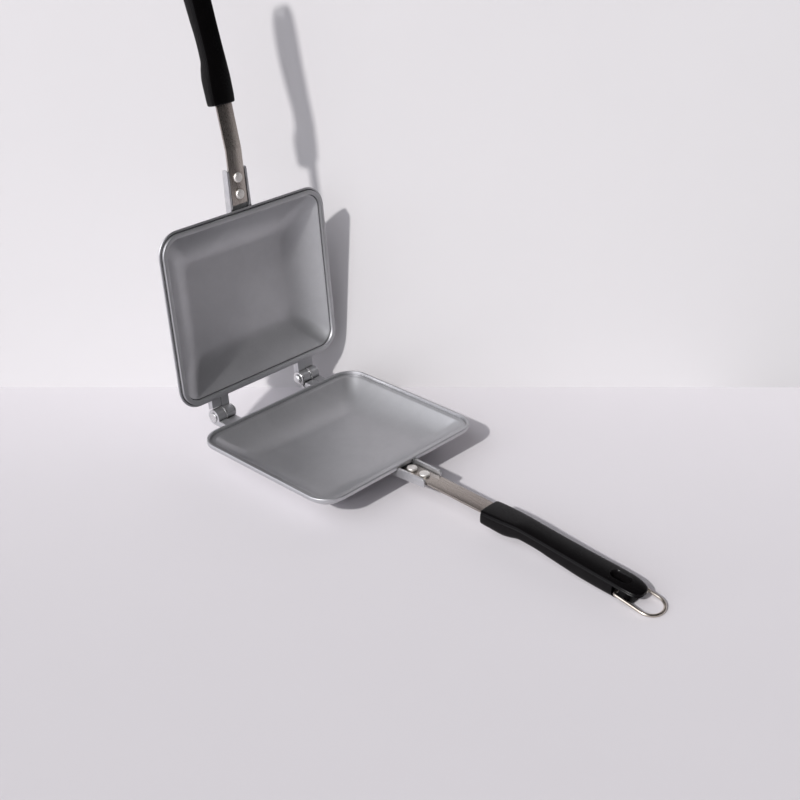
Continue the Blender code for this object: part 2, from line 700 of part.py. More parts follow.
def make_pan(half):
    """The pan with its hinge lugs and its handle channel, bored and relieved."""
    pan = half.make("pan", pan_body(half), CAST_FINISH)
    added = []
    for solid in hinge_solids(half):
        added += [mirrored(solid), solid]
    added += channel_solids(half)
    bore = bore_cut(half.axis_height)
    removed = [mirrored(bore), bore, pocket_cut(half)] + rivet_cuts(half)
    combine(pan, [half.facing(solid) for solid in added], "UNION")
    combine(pan, [half.facing(solid) for solid in removed], "DIFFERENCE")


def make_handle(half):
    """The strip, its two rivets and the grip."""
    strip = half.make("strip", strip_body(half), STRIP_FINISH)
    combine(strip, [half.facing(hole) for hole in rivet_cuts(half)], "DIFFERENCE")
    for label, y in zip(("rear", "front"), rivet_places(half)):
        half.make(f"rivet_{label}", rivet_body(), RIVET_FINISH, y, -half.strip_top_drop)
    front_y, front_z = grip_front(half)
    grip = half.make("grip", grip_body(), GRIP_FINISH, front_y, front_z, half.slope)
    cuts = [tang_cut(), slot_cut()] + recess_cuts()
    if not half.is_upper:
        cuts += ring_socket_cuts()
    combine(grip, [half.facing(cut) for cut in cuts], "DIFFERENCE")


def rivet_body():
    """A rivet about the strip's top: low flat head above, shank through, peened tail under the web."""
    seat = TOUCH_GAP
    tail = -(STRIP_THICKNESS + TOUCH_GAP + CHANNEL_WEB_THICKNESS + TOUCH_GAP)
    profile = [(RIVET_TAIL_RADIUS * out, tail - RIVET_TAIL_HEIGHT * down) for out, down in RIVET_TAIL_SHARES]
    profile += [(RIVET_SHANK_RADIUS, tail), (RIVET_SHANK_RADIUS, seat)]
    profile += [(RIVET_HEAD_RADIUS * out, seat + RIVET_HEAD_HEIGHT * up) for out, up in RIVET_HEAD_SHARES]
    return turned(profile)


def pin_body():
    """A hinge pin about the knuckle's inner face, pointing outward along Z: dome, shank and peened end."""
    seat = -(TOUCH_GAP + WASHER_THICKNESS + TOUCH_GAP)
    far = HINGE_STATION_OUTER - HINGE_STATION_INNER + TOUCH_GAP
    profile = [(PIN_HEAD_RADIUS * out, seat - PIN_HEAD_HEIGHT * up) for out, up in PIN_DOME_SHARES]
    profile += [(PIN_RADIUS, seat), (PIN_RADIUS, far)]
    profile += [(PIN_PEEN_RADIUS * out, far + PIN_PEEN_HEIGHT * along) for out, along in PIN_PEEN_SHARES]
    return turned(profile)


def washer_body():
    """The collar under the pin's dome, with its hole."""
    bm = bmesh.new()
    rings = []
    inner = PIN_RADIUS + BORE_CLEARANCE
    seat = -TOUCH_GAP
    section = [(inner, seat), (WASHER_RADIUS, seat), (WASHER_RADIUS, seat - WASHER_THICKNESS)]
    section.append((inner, seat - WASHER_THICKNESS))
    for step in range(ROUND_SEGMENTS):
        angle = 2 * math.pi * step / ROUND_SEGMENTS
        rings.append([bm.verts.new((r * math.cos(angle), r * math.sin(angle), z)) for r, z in section])
    for index, ring in enumerate(rings):
        following = rings[(index + 1) % ROUND_SEGMENTS]
        for corner in range(len(section)):
            after = (corner + 1) % len(section)
            bm.faces.new((ring[corner], ring[after], following[after], following[corner]))
    bmesh.ops.recalc_face_normals(bm, faces=bm.faces)
    return bm


def make_hinge_pins():
    """A pin and its washer at each station; the domes face the middle of the iron."""
    for label, side in (("left", -1), ("right", 1)):
        for piece, bm in (("pin", pin_body()), ("washer", washer_body())):
            along_x(bm, 0, 0, 0)
            solid = bm if side > 0 else mirrored(bm)
            where = (side * HINGE_STATION_INNER, HINGE_Y, HINGE_Z)
            mesh_object(f"hinge_{piece}_{label}", solid, PIN_FINISH, None, where)


def make_ring(half):
    """The wire ring on its pivot in a half's grip, its bow resting on the table."""
    front_y, front_z = grip_front(half)
    reach = GRIP_LENGTH - RING_PIVOT_DISTANCE
    y = front_y - reach * math.cos(half.slope) + RING_PIVOT_DROP * math.sin(half.slope)
    z = PAN_HEIGHT + front_z - reach * math.sin(half.slope) - RING_PIVOT_DROP * math.cos(half.slope)
    droop = math.asin((z - WIRE_RADIUS) / (RING_LEG + RING_BOW))
    pivot = empty("ring_axis", (0, y, z), droop)
    curve = bpy.data.curves.new("wire_ring", "CURVE")
    curve.dimensions = "3D"
    curve.bevel_depth = WIRE_RADIUS
    curve.bevel_resolution = 2
    curve.use_fill_caps = True
    points = ring_points()
    spline = curve.splines.new("POLY")
    spline.points.add(len(points) - 1)
    for point, (x, along) in zip(spline.points, points):
        point.co = (x, along, 0, 1)
    curve.materials.append(plain_material("wire_ring", WIRE_FINISH))
    ring = bpy.data.objects.new("wire_ring", curve)
    bpy.context.scene.collection.objects.link(ring)
    ring.parent = pivot


def main():
    """Clears the scene and builds the iron, the lower half flat and the upper half standing open."""
    for item in list(bpy.data.objects):
        bpy.data.objects.remove(item, do_unlink=True)
    lid_axis = empty("lid_axis", (0, HINGE_Y, HINGE_Z), -math.radians(OPEN_ANGLE_DEG))
    lower = Half("lower", None, (0, 0, PAN_HEIGHT), is_upper=False)
    upper_origin = (0, -HINGE_Y, PAN_HEIGHT + PARTING_GAP - HINGE_Z)
    upper = Half("upper", lid_axis, upper_origin, is_upper=True)
    for half in (lower, upper):
        make_pan(half)
        make_handle(half)
    make_hinge_pins()
    make_ring(lower)


main()
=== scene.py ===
"""Sandwich toaster iron, standing open on a pale table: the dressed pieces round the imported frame.

Each half is drawn in its own half frame, whose origin is the centre of the rim plane with the cavity going
down to -Z and the handle pointing to -Y. The upper half is the same drawing turned over and stood open.
Sizes are in metres.
"""

import logging
import math
from collections.abc import Callable, Sequence
from dataclasses import dataclass, field
from enum import Enum

import bmesh
import bpy
import numpy as np
from mathutils import Matrix, Vector


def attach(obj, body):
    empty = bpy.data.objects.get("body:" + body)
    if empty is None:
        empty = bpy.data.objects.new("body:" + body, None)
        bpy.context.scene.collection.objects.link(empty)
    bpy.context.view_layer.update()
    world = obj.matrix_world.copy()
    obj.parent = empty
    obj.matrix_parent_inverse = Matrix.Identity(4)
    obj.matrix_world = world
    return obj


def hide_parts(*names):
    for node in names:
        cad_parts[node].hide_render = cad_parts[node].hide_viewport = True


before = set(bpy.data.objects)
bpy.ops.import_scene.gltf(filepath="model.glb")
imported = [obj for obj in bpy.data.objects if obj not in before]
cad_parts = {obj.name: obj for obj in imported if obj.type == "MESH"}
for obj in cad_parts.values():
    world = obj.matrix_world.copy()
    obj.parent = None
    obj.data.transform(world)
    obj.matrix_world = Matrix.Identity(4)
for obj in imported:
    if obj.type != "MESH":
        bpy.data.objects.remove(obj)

logging.basicConfig(level=logging.INFO, format="%(message)s")
LOG = logging.getLogger("sandwich_iron")

Point = tuple[float, float, float]
Pair = tuple[float, float]
Socket = bpy.types.NodeSocket
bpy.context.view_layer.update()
HALF_PLACE = "half_place"
EDGE_WEAR = "edge_wear"
NEAR = 1e-5  # how close a point lies to the place by which it is picked
MOSTLY = 0.9  # how far along an axis a direction points to be picked
LEVEL = 0.999  # the same where gently sloping faces are left out


class Pick(Enum):
    """What an edit-mode selection picks."""

    VERT = "verts"
    EDGE = "edges"
    FACE = "faces"


class Which(Enum):
    """The two halves of the iron."""

    LOWER = "lower"
    UPPER = "upper"


# ---- shader node groups and finishes


class Graph:
    """A shader node tree under construction."""

    def __init__(self, tree: bpy.types.NodeTree) -> None:
        """Keeps the tree that the nodes go into."""
        self.tree = tree

    def link(self, source: Socket, target: Socket) -> None:
        """Connects an output to an input."""
        self.tree.links.new(source, target)

    def feed(self, node: bpy.types.Node, inputs: dict) -> bpy.types.Node:
        """Sets or connects a node's inputs.

        Args:
            node: the node.
            inputs: socket name or index to a value, or to the output socket that feeds it.

        Returns:
            The same node.
        """
        for name, value in inputs.items():
            if isinstance(value, Socket):
                self.link(value, node.inputs[name])
            else:
                node.inputs[name].default_value = value
        return node

    def add(self, kind: str, inputs: dict | None = None, **settings: object) -> bpy.types.Node:
        """Adds one node.

        Args:
            kind: the node's type without its ShaderNode prefix.
            inputs: what feeds it, as in feed.
            settings: the node's own properties.

        Returns:
            The new node.
        """
        node = self.tree.nodes.new(f"ShaderNode{kind}")
        for name, value in settings.items():
            setattr(node, name, value)
        return self.feed(node, inputs or {})

    def maths(self, operation: str, first: object, second: object = 0.0, clamp: bool = False) -> Socket:
        """Adds a Math node and returns its result."""
        return self.add("Math", {0: first, 1: second}, operation=operation, use_clamp=clamp).outputs[0]

    def between(self, value: Socket, source: Pair, target: Pair = (0.0, 1.0)) -> Socket:
        """Maps a value smoothly from one range to another, clamped at both ends."""
        inputs = {0: value, 1: source[0], 2: source[1], 3: target[0], 4: target[1]}
        return self.add("MapRange", inputs, interpolation_type="SMOOTHSTEP").outputs[0]

    def noise(
        self, place: Socket, scale: object, detail: float, roughness: float = 0.5, distortion: float = 0.0
    ) -> Socket:
        """Adds a noise texture.

        Args:
            place: where it is looked up.
            scale: how close together its bumps lie.
            detail: how many finer layers it has.
            roughness: how strong the finer layers are.
            distortion: how much it swirls.

        Returns:
            Its value.
        """
        inputs = {
            "Vector": place, "Scale": scale, "Detail": detail, "Roughness": roughness, "Distortion": distortion,
        }
        return self.add("TexNoise", inputs).outputs["Fac"]

    def cells(self, place: Socket, scale: object) -> Socket:
        """Adds a cell texture and returns the distance from the middle of each cell."""
        return self.add("TexVoronoi", {"Vector": place, "Scale": scale}).outputs["Distance"]

    def mixed(self, factor: object, first: object, second: object, blend: str = "MIX") -> Socket:
        """Mixes two colours.

        Args:
            factor: the share of the second, or the socket that gives it.
            first: a colour or socket.
            second: a colour or socket.
            blend: how they are mixed.

        Returns:
            The mixed colour.
        """
        tones = {
            index: (*tone, 1.0) if isinstance(tone, tuple) else tone for index, tone in ((6, first), (7, second))
        }
        return self.add("Mix", {0: factor, **tones}, data_type="RGBA", blend_type=blend).outputs[2]


class EffectGraph(Graph):
    """A shared node group under construction, with its own inputs and outputs."""

    def __init__(self, name: str, inputs: dict[str, float], outputs: Sequence[str]) -> None:
        """Opens the group.

        Args:
            name: the group's name.
            inputs: its number inputs with their defaults, beside the Place vector that every group takes.
            outputs: its number outputs.
        """
        super().__init__(bpy.data.node_groups.new(name, "ShaderNodeTree"))
        sockets = self.tree.interface
        sockets.new_socket("Place", in_out="INPUT", socket_type="NodeSocketVector")
        for label, value in inputs.items():
            sockets.new_socket(label, in_out="INPUT", socket_type="NodeSocketFloat").default_value = value
        for label in outputs:
            sockets.new_socket(label, in_out="OUTPUT", socket_type="NodeSocketFloat")
        self.source = self.tree.nodes.new("NodeGroupInput")
        self.result = self.tree.nodes.new("NodeGroupOutput")

    def given(self, name: str) -> Socket:
        """One of the group's inputs."""
        return self.source.outputs[name]

    def give(self, name: str, value: Socket) -> None:
        """Feeds one of the group's outputs."""
        self.link(value, self.result.inputs[name])


@dataclass
class Effects:
    """The effects that several finishes share, each built once as a node group."""

    bump_detail: float = 3.0
    bump_roughness: float = 0.62
    bump_range: Pair = (0.35, 0.65)
    pit_spacing: float = 0.28
    pit_width: float = 0.22
    cloud_detail: float = 5.0
    cloud_roughness: float = 0.6
    cloud_swirl: float = 0.4
    cloud_range: Pair = (0.3, 0.7)
    line_detail: float = 4.0
    line_roughness: float = 0.7
    line_stretch: float = 0.02
    scratch_turn: float = 0.35
    scratch_scale: Point = (900.0, 22.0, 900.0)
    scratch_range: Pair = (0.66, 0.74)
    speck_scale: float = 380.0
    speck_range: Pair = (0.04, 0.1)
    film_scale: float = 90.0
    film_detail: float = 6.0
    film_range: Pair = (0.5, 0.8)
    film_most: float = 0.5
    # painted shade in corners and gaps: which occlusion counts as a corner, the cloud that breaks it up, and the
    # occlusion samples
    corner_range: Pair = (0.35, 0.9)
    painted_shade_scale: float = 700.0
    painted_shade_detail: float = 4.0
    painted_shade_range: Pair = (0.3, 0.7)
    painted_shade_least: float = 0.7
    painted_shade_samples: int = 6

    def __post_init__(self) -> None:
        """Builds every group."""
        self.grain = self._grain()
        self.mottle = self._mottle()
        self.scratches = self._scratches()
        self.dust = self._dust()
        self.painted_shade = self._painted_shade()

    def _grain(self) -> bpy.types.NodeTree:
        """Fine blasted or moulded grain: small bumps with a few deeper pits.

        Returns:
            The group.
        """
        graph = EffectGraph("surface_grain", {"Size": 0.0006, "Pits": 0.3}, ("Height", "Mask"))
        place, scale = graph.given("Place"), graph.maths("DIVIDE", 1.0, graph.given("Size"))
        bumps = graph.noise(place, scale, self.bump_detail, self.bump_roughness)
        hollows = graph.cells(place, graph.maths("MULTIPLY", scale, self.pit_spacing))
        sunken = graph.between(hollows, (0.0, self.pit_width), (1.0, 0.0))
        pit = graph.maths("MULTIPLY", sunken, graph.given("Pits"))
        graph.give("Height", graph.maths("SUBTRACT", bumps, pit))
        graph.give("Mask", graph.between(bumps, self.bump_range))
        return graph.tree

    def _mottle(self) -> bpy.types.NodeTree:
        """Broad cloudy variation, as on a coated or handled surface.

        Returns:
            The group.
        """
        graph = EffectGraph("cloudy_mottle", {"Size": 0.03}, ("Mask",))
        scale = graph.maths("DIVIDE", 1.0, graph.given("Size"))
        place, shape = graph.given("Place"), (self.cloud_detail, self.cloud_roughness, self.cloud_swirl)
        graph.give("Mask", graph.between(graph.noise(place, scale, *shape), self.cloud_range))
        return graph.tree

    def _scratches(self) -> bpy.types.NodeTree:
        """Straight rolled grain along Y with sparse longer scratches.

        Returns:
            The group.
        """
        graph = EffectGraph("rolled_scratches", {"Width": 0.0004, "Amount": 0.5}, ("Grain", "Scratch"))
        place, across = graph.given("Place"), graph.maths("DIVIDE", 1.0, graph.given("Width"))
        along = graph.maths("MULTIPLY", across, self.line_stretch)
        stretch = graph.add("CombineXYZ", {"X": across, "Y": along, "Z": across}).outputs[0]
        drawn = graph.add("VectorMath", {0: place, 1: stretch}, operation="MULTIPLY").outputs[0]
        turn = {"Vector": place, "Rotation": (0.0, 0.0, self.scratch_turn), "Scale": self.scratch_scale}
        turned = graph.noise(graph.add("Mapping", turn).outputs[0], 1.0, 1.0)
        sparse = graph.between(turned, self.scratch_range)
        graph.give("Grain", graph.noise(drawn, 1.0, self.line_detail, self.line_roughness))
        graph.give("Scratch", graph.maths("MULTIPLY", sparse, graph.given("Amount")))
        return graph.tree

    def _dust(self) -> bpy.types.NodeTree:
        """A few pale specks and a light film.

        Returns:
            The group.
        """
        graph = EffectGraph("dust_specks", {"Amount": 0.3}, ("Mask",))
        place = graph.given("Place")
        speck = graph.between(graph.cells(place, self.speck_scale), self.speck_range, (1.0, 0.0))
        thin = graph.noise(place, self.film_scale, self.film_detail)
        film = graph.between(thin, self.film_range, (0.0, self.film_most))
        both = graph.maths("ADD", speck, film)
        graph.give("Mask", graph.maths("MULTIPLY", both, graph.given("Amount"), clamp=True))
        return graph.tree

    def _painted_shade(self) -> bpy.types.NodeTree:
        """Painted shade: darkening in corners and gaps, found by ambient occlusion and broken up by a fine cloud.

        Returns:
            The group.
        """
        graph = EffectGraph("corner_grime", {"Reach": 0.002, "Amount": 0.6}, ("Mask",))
        # Painted shade: ambient occlusion finds corners and gaps, where less light reaches, and darkens them
        near = graph.add("AmbientOcclusion", {"Distance": graph.given("Reach")}, samples=self.painted_shade_samples)
        corner = graph.between(near.outputs["AO"], self.corner_range, (1.0, 0.0))
        cloud = graph.noise(graph.given("Place"), self.painted_shade_scale, self.painted_shade_detail)
        uneven = graph.between(cloud, self.painted_shade_range, (self.painted_shade_least, 1.0))
        shade_in_corners = graph.maths("MULTIPLY", corner, uneven)
        graph.give("Mask", graph.maths("MULTIPLY", shade_in_corners, graph.given("Amount"), clamp=True))
        return graph.tree


@dataclass(frozen=True)
class Ground:
    """What a finish works on: its graph, the shared effects, the place on the half and the edge wear."""

    graph: Graph
    effects: Effects
    place: Socket
    wear: Socket

    def effect(self, shared: bpy.types.NodeTree, **inputs: float) -> Sequence[Socket]:
        """Places a shared effect and returns its outputs."""
        return self.graph.add("Group", {"Place": self.place, **inputs}, node_tree=shared).outputs


@dataclass(frozen=True)
class Finish:
    """What every finish has.

    Its colour and shade are the two tones between which it varies, and worn is that of rubbed edges. Its
    roughness goes from roughness to rougher, grain is the size of its pattern, relief the height of its bumps.
    """

    name: str
    colour: Point
    shade: Point
    worn: Point
    metallic: float
    roughness: float
    rougher: float
    grain: float
    relief: float
    specular: float = 0.5
    # painted shade: how strongly corners and gaps are darkened, how far the occlusion looks, and the dark tone they
    # go to
    painted_shade: float = 0.0
    painted_shade_reach: float = 0.0022
    painted_shade_tone: Point = (0.018, 0.016, 0.015)

    def surface(self, ground: Ground) -> tuple[Socket, Socket, Socket]:
        """Draws the finish's own pattern on a ground: its colour, roughness and height."""
        raise NotImplementedError

    def make(self, effects: Effects) -> bpy.types.Material:
        """Builds the material.

        Args:
            effects: the shared node groups.

        Returns:
            The material.
        """
        material = bpy.data.materials.new(self.name)
        material.use_nodes = True
        graph = Graph(material.node_tree)
        shader = material.node_tree.nodes["Principled BSDF"]
        place = graph.add("Attribute", attribute_name=HALF_PLACE).outputs["Vector"]
        wear = graph.add("Attribute", attribute_name=EDGE_WEAR).outputs["Fac"]
        ground = Ground(graph, effects, place, wear)
        tone, gloss, height = self.surface(ground)
        # Painted shade: the colour darkens towards the dark tone in corners and gaps
        if self.painted_shade > 0:
            painted_shade_mask = ground.effect(effects.painted_shade, Reach=self.painted_shade_reach, Amount=self.painted_shade)
            tone = graph.mixed(painted_shade_mask["Mask"], tone, self.painted_shade_tone)
        bump = graph.add("Bump", {"Strength": 1.0, "Distance": self.relief, "Height": height})
        constants = {"Metallic": self.metallic, "Specular IOR Level": self.specular}
        graph.feed(shader, {**constants, "Base Color": tone, "Roughness": gloss, "Normal": bump.outputs["Normal"]})
        return material


@dataclass(frozen=True)
class CastFinish(Finish):
    """Silver-grey coated casting: blasted grain, cloudy tone, burnished edges."""

    # painted shade in corners and gaps
    painted_shade: float = 0.8
    pits: float = 0.35
    cloud_size: float = 0.028
    flow_size: float = 0.0045
    cloud_share: float = 0.55
    flow_share: float = 0.18
    worn_share: float = 0.7
    worn_gloss: float = 0.12
    worn_range: Pair = (0.1, 0.9)
    worn_least: float = 0.45
    flow_relief: float = 0.5

    def surface(self, ground: Ground) -> tuple[Socket, Socket, Socket]:
        """Draws blasted grain over a broad and a narrow cloud.

        Args:
            ground: what it works on.

        Returns:
            Its colour, roughness and height.
        """
        graph, effects = ground.graph, ground.effects
        grain = ground.effect(effects.grain, Size=self.grain, Pits=self.pits)
        cloud = ground.effect(effects.mottle, Size=self.cloud_size)["Mask"]
        flow = ground.effect(effects.mottle, Size=self.flow_size)["Mask"]
        tone = graph.mixed(graph.maths("MULTIPLY", cloud, self.cloud_share), self.colour, self.shade)
        tone = graph.mixed(graph.maths("MULTIPLY", flow, self.flow_share), tone, self.shade)
        patchy = graph.between(flow, self.worn_range, (self.worn_least, 1.0))
        rubbed = graph.maths("MULTIPLY", ground.wear, patchy, clamp=True)
        tone = graph.mixed(graph.maths("MULTIPLY", rubbed, self.worn_share), tone, self.worn)
        gloss = graph.between(grain["Mask"], (0.0, 1.0), (self.roughness, self.rougher))
        gloss = graph.maths("SUBTRACT", gloss, graph.maths("MULTIPLY", rubbed, self.worn_gloss))
        height = graph.maths("ADD", grain["Height"], graph.maths("MULTIPLY", flow, self.flow_relief))
        return tone, gloss, height


@dataclass(frozen=True)
class RolledFinish(Finish):
    """Rolled steel strip: lengthwise grain, long scratches, a faint brown tint."""

    # painted shade in corners and gaps
    painted_shade: float = 0.8
    scratches: float = 0.8
    cloud_size: float = 0.012
    line_share: float = 0.8
    line_range: Pair = (0.3, 0.7)
    cloud_share: float = 0.4
    worn_share: float = 0.7
    scratch_relief: float = 0.6

    def surface(self, ground: Ground) -> tuple[Socket, Socket, Socket]:
        """Draws fine lines and scratches along the strip.

        Args:
            ground: what it works on.

        Returns:
            Its colour, roughness and height.
        """
        graph, effects = ground.graph, ground.effects
        lines = ground.effect(effects.scratches, Width=self.grain, Amount=self.scratches)
        cloud = ground.effect(effects.mottle, Size=self.cloud_size)["Mask"]
        fine = graph.between(lines["Grain"], self.line_range, (0.0, self.line_share))
        tone = graph.mixed(fine, self.colour, self.shade)
        tone = graph.mixed(graph.maths("MULTIPLY", cloud, self.cloud_share), tone, self.shade)
        worn = graph.maths("MULTIPLY", ground.wear, self.worn_share)
        tone = graph.mixed(graph.maths("ADD", worn, lines["Scratch"], clamp=True), tone, self.worn)
        gloss = graph.between(lines["Grain"], self.line_range, (self.roughness, self.rougher))
        cut = graph.maths("MULTIPLY", lines["Scratch"], self.scratch_relief)
        return tone, gloss, graph.maths("SUBTRACT", lines["Grain"], cut)


@dataclass(frozen=True)
class HammeredFinish(Finish):
    """Rivets, pins and wire: bright metal with small dents and dull patches."""

    # painted shade in corners and gaps
    painted_shade: float = 0.45
    fine_size: float = 0.00018
    pits: float = 0.2
    dull_share: float = 0.6
    worn_share: float = 0.5
    fine_relief: float = 0.25

    def surface(self, ground: Ground) -> tuple[Socket, Socket, Socket]:
        """Draws small dents over a finer grain.

        Args:
            ground: what it works on.

        Returns:
            Its colour, roughness and height.
        """
        graph, effects = ground.graph, ground.effects
        dents = ground.effect(effects.mottle, Size=self.grain)["Mask"]
        fine = ground.effect(effects.grain, Size=self.fine_size, Pits=self.pits)
        tone = graph.mixed(graph.maths("MULTIPLY", dents, self.dull_share), self.colour, self.shade)
        tone = graph.mixed(graph.maths("MULTIPLY", ground.wear, self.worn_share), tone, self.worn)
        gloss = graph.between(fine["Mask"], (0.0, 1.0), (self.roughness, self.rougher))
        height = graph.maths("ADD", dents, graph.maths("MULTIPLY", fine["Height"], self.fine_relief))
        return tone, gloss, height


@dataclass(frozen=True)
class MouldedFinish(Finish):
    """Black moulded plastic: fine grain, edges rubbed slightly paler, a little dust."""

    specular: float = 0.12
    pits: float = 0.15
    cloud_size: float = 0.02
    dust: float = 0.12
    worn_share: float = 0.25
    cloud_gloss: float = 0.06

    def surface(self, ground: Ground) -> tuple[Socket, Socket, Socket]:
        """Draws moulded grain with a light film of dust.

        Args:
            ground: what it works on.

        Returns:
            Its colour, roughness and height.
        """
        graph, effects = ground.graph, ground.effects
        grain = ground.effect(effects.grain, Size=self.grain, Pits=self.pits)
        cloud = ground.effect(effects.mottle, Size=self.cloud_size)["Mask"]
        dust = ground.effect(effects.dust, Amount=self.dust)["Mask"]
        tone = graph.mixed(cloud, self.colour, self.shade)
        worn = graph.maths("MULTIPLY", ground.wear, self.worn_share)
        tone = graph.mixed(graph.maths("ADD", worn, dust, clamp=True), tone, self.worn)
        gloss = graph.between(grain["Mask"], (0.0, 1.0), (self.roughness, self.rougher))
        gloss = graph.maths("ADD", gloss, graph.maths("MULTIPLY", cloud, self.cloud_gloss))
        return tone, gloss, grain["Height"]


@dataclass(frozen=True)
class Finishes:
    """The iron's finishes."""

    cast: CastFinish = CastFinish(
        "silver_coated_casting", (0.52, 0.52, 0.535), (0.45, 0.45, 0.465), (0.70, 0.70, 0.71),
        metallic=0.90, roughness=0.43, rougher=0.51, grain=0.00055, relief=0.00004,
    )
    strip: RolledFinish = RolledFinish(
        "rolled_handle_steel", (0.335, 0.296, 0.27), (0.27, 0.235, 0.214), (0.48, 0.44, 0.40),
        metallic=0.95, roughness=0.24, rougher=0.34, grain=0.00035, relief=0.00002,
    )
    rivet: HammeredFinish = HammeredFinish(
        "pale_rivet_metal", (0.90, 0.87, 0.835), (0.72, 0.695, 0.66), (0.92, 0.90, 0.87),
        metallic=0.8, roughness=0.30, rougher=0.46, grain=0.0016, relief=0.00012,
    )
    pin: HammeredFinish = HammeredFinish(
        "bright_pin_metal", (0.72, 0.72, 0.72), (0.55, 0.55, 0.56), (0.90, 0.90, 0.90),
        metallic=0.95, roughness=0.18, rougher=0.30, grain=0.0022, relief=0.00005,
    )
    wire: HammeredFinish = HammeredFinish(
        "drawn_ring_wire", (0.66, 0.60, 0.53), (0.46, 0.40, 0.34), (0.86, 0.80, 0.72),
        metallic=1.0, roughness=0.16, rougher=0.30, grain=0.004, relief=0.00002,
    )
    plastic: MouldedFinish = MouldedFinish(
        "black_moulded_plastic", (0.0036, 0.0031, 0.0034), (0.0022, 0.0019, 0.0021), (0.018, 0.017, 0.018),
        metallic=0.0, roughness=0.15, rougher=0.23, grain=0.00045, relief=0.000015,
    )


# ---- the bench on which new pieces are shaped


def deselect_everything() -> None:
    """Leaves edit mode and deselects every object."""
    if bpy.context.object is not None and bpy.context.object.mode != "OBJECT":
        bpy.ops.object.mode_set(mode="OBJECT")
    bpy.ops.object.select_all(action="DESELECT")


@dataclass(frozen=True)
class Wear:
    """How sharp an edge has to be to look worn, in radians per metre of its edges."""

    full: float = 2200.0
    start: float = 0.15
    shortest: float = 1e-5


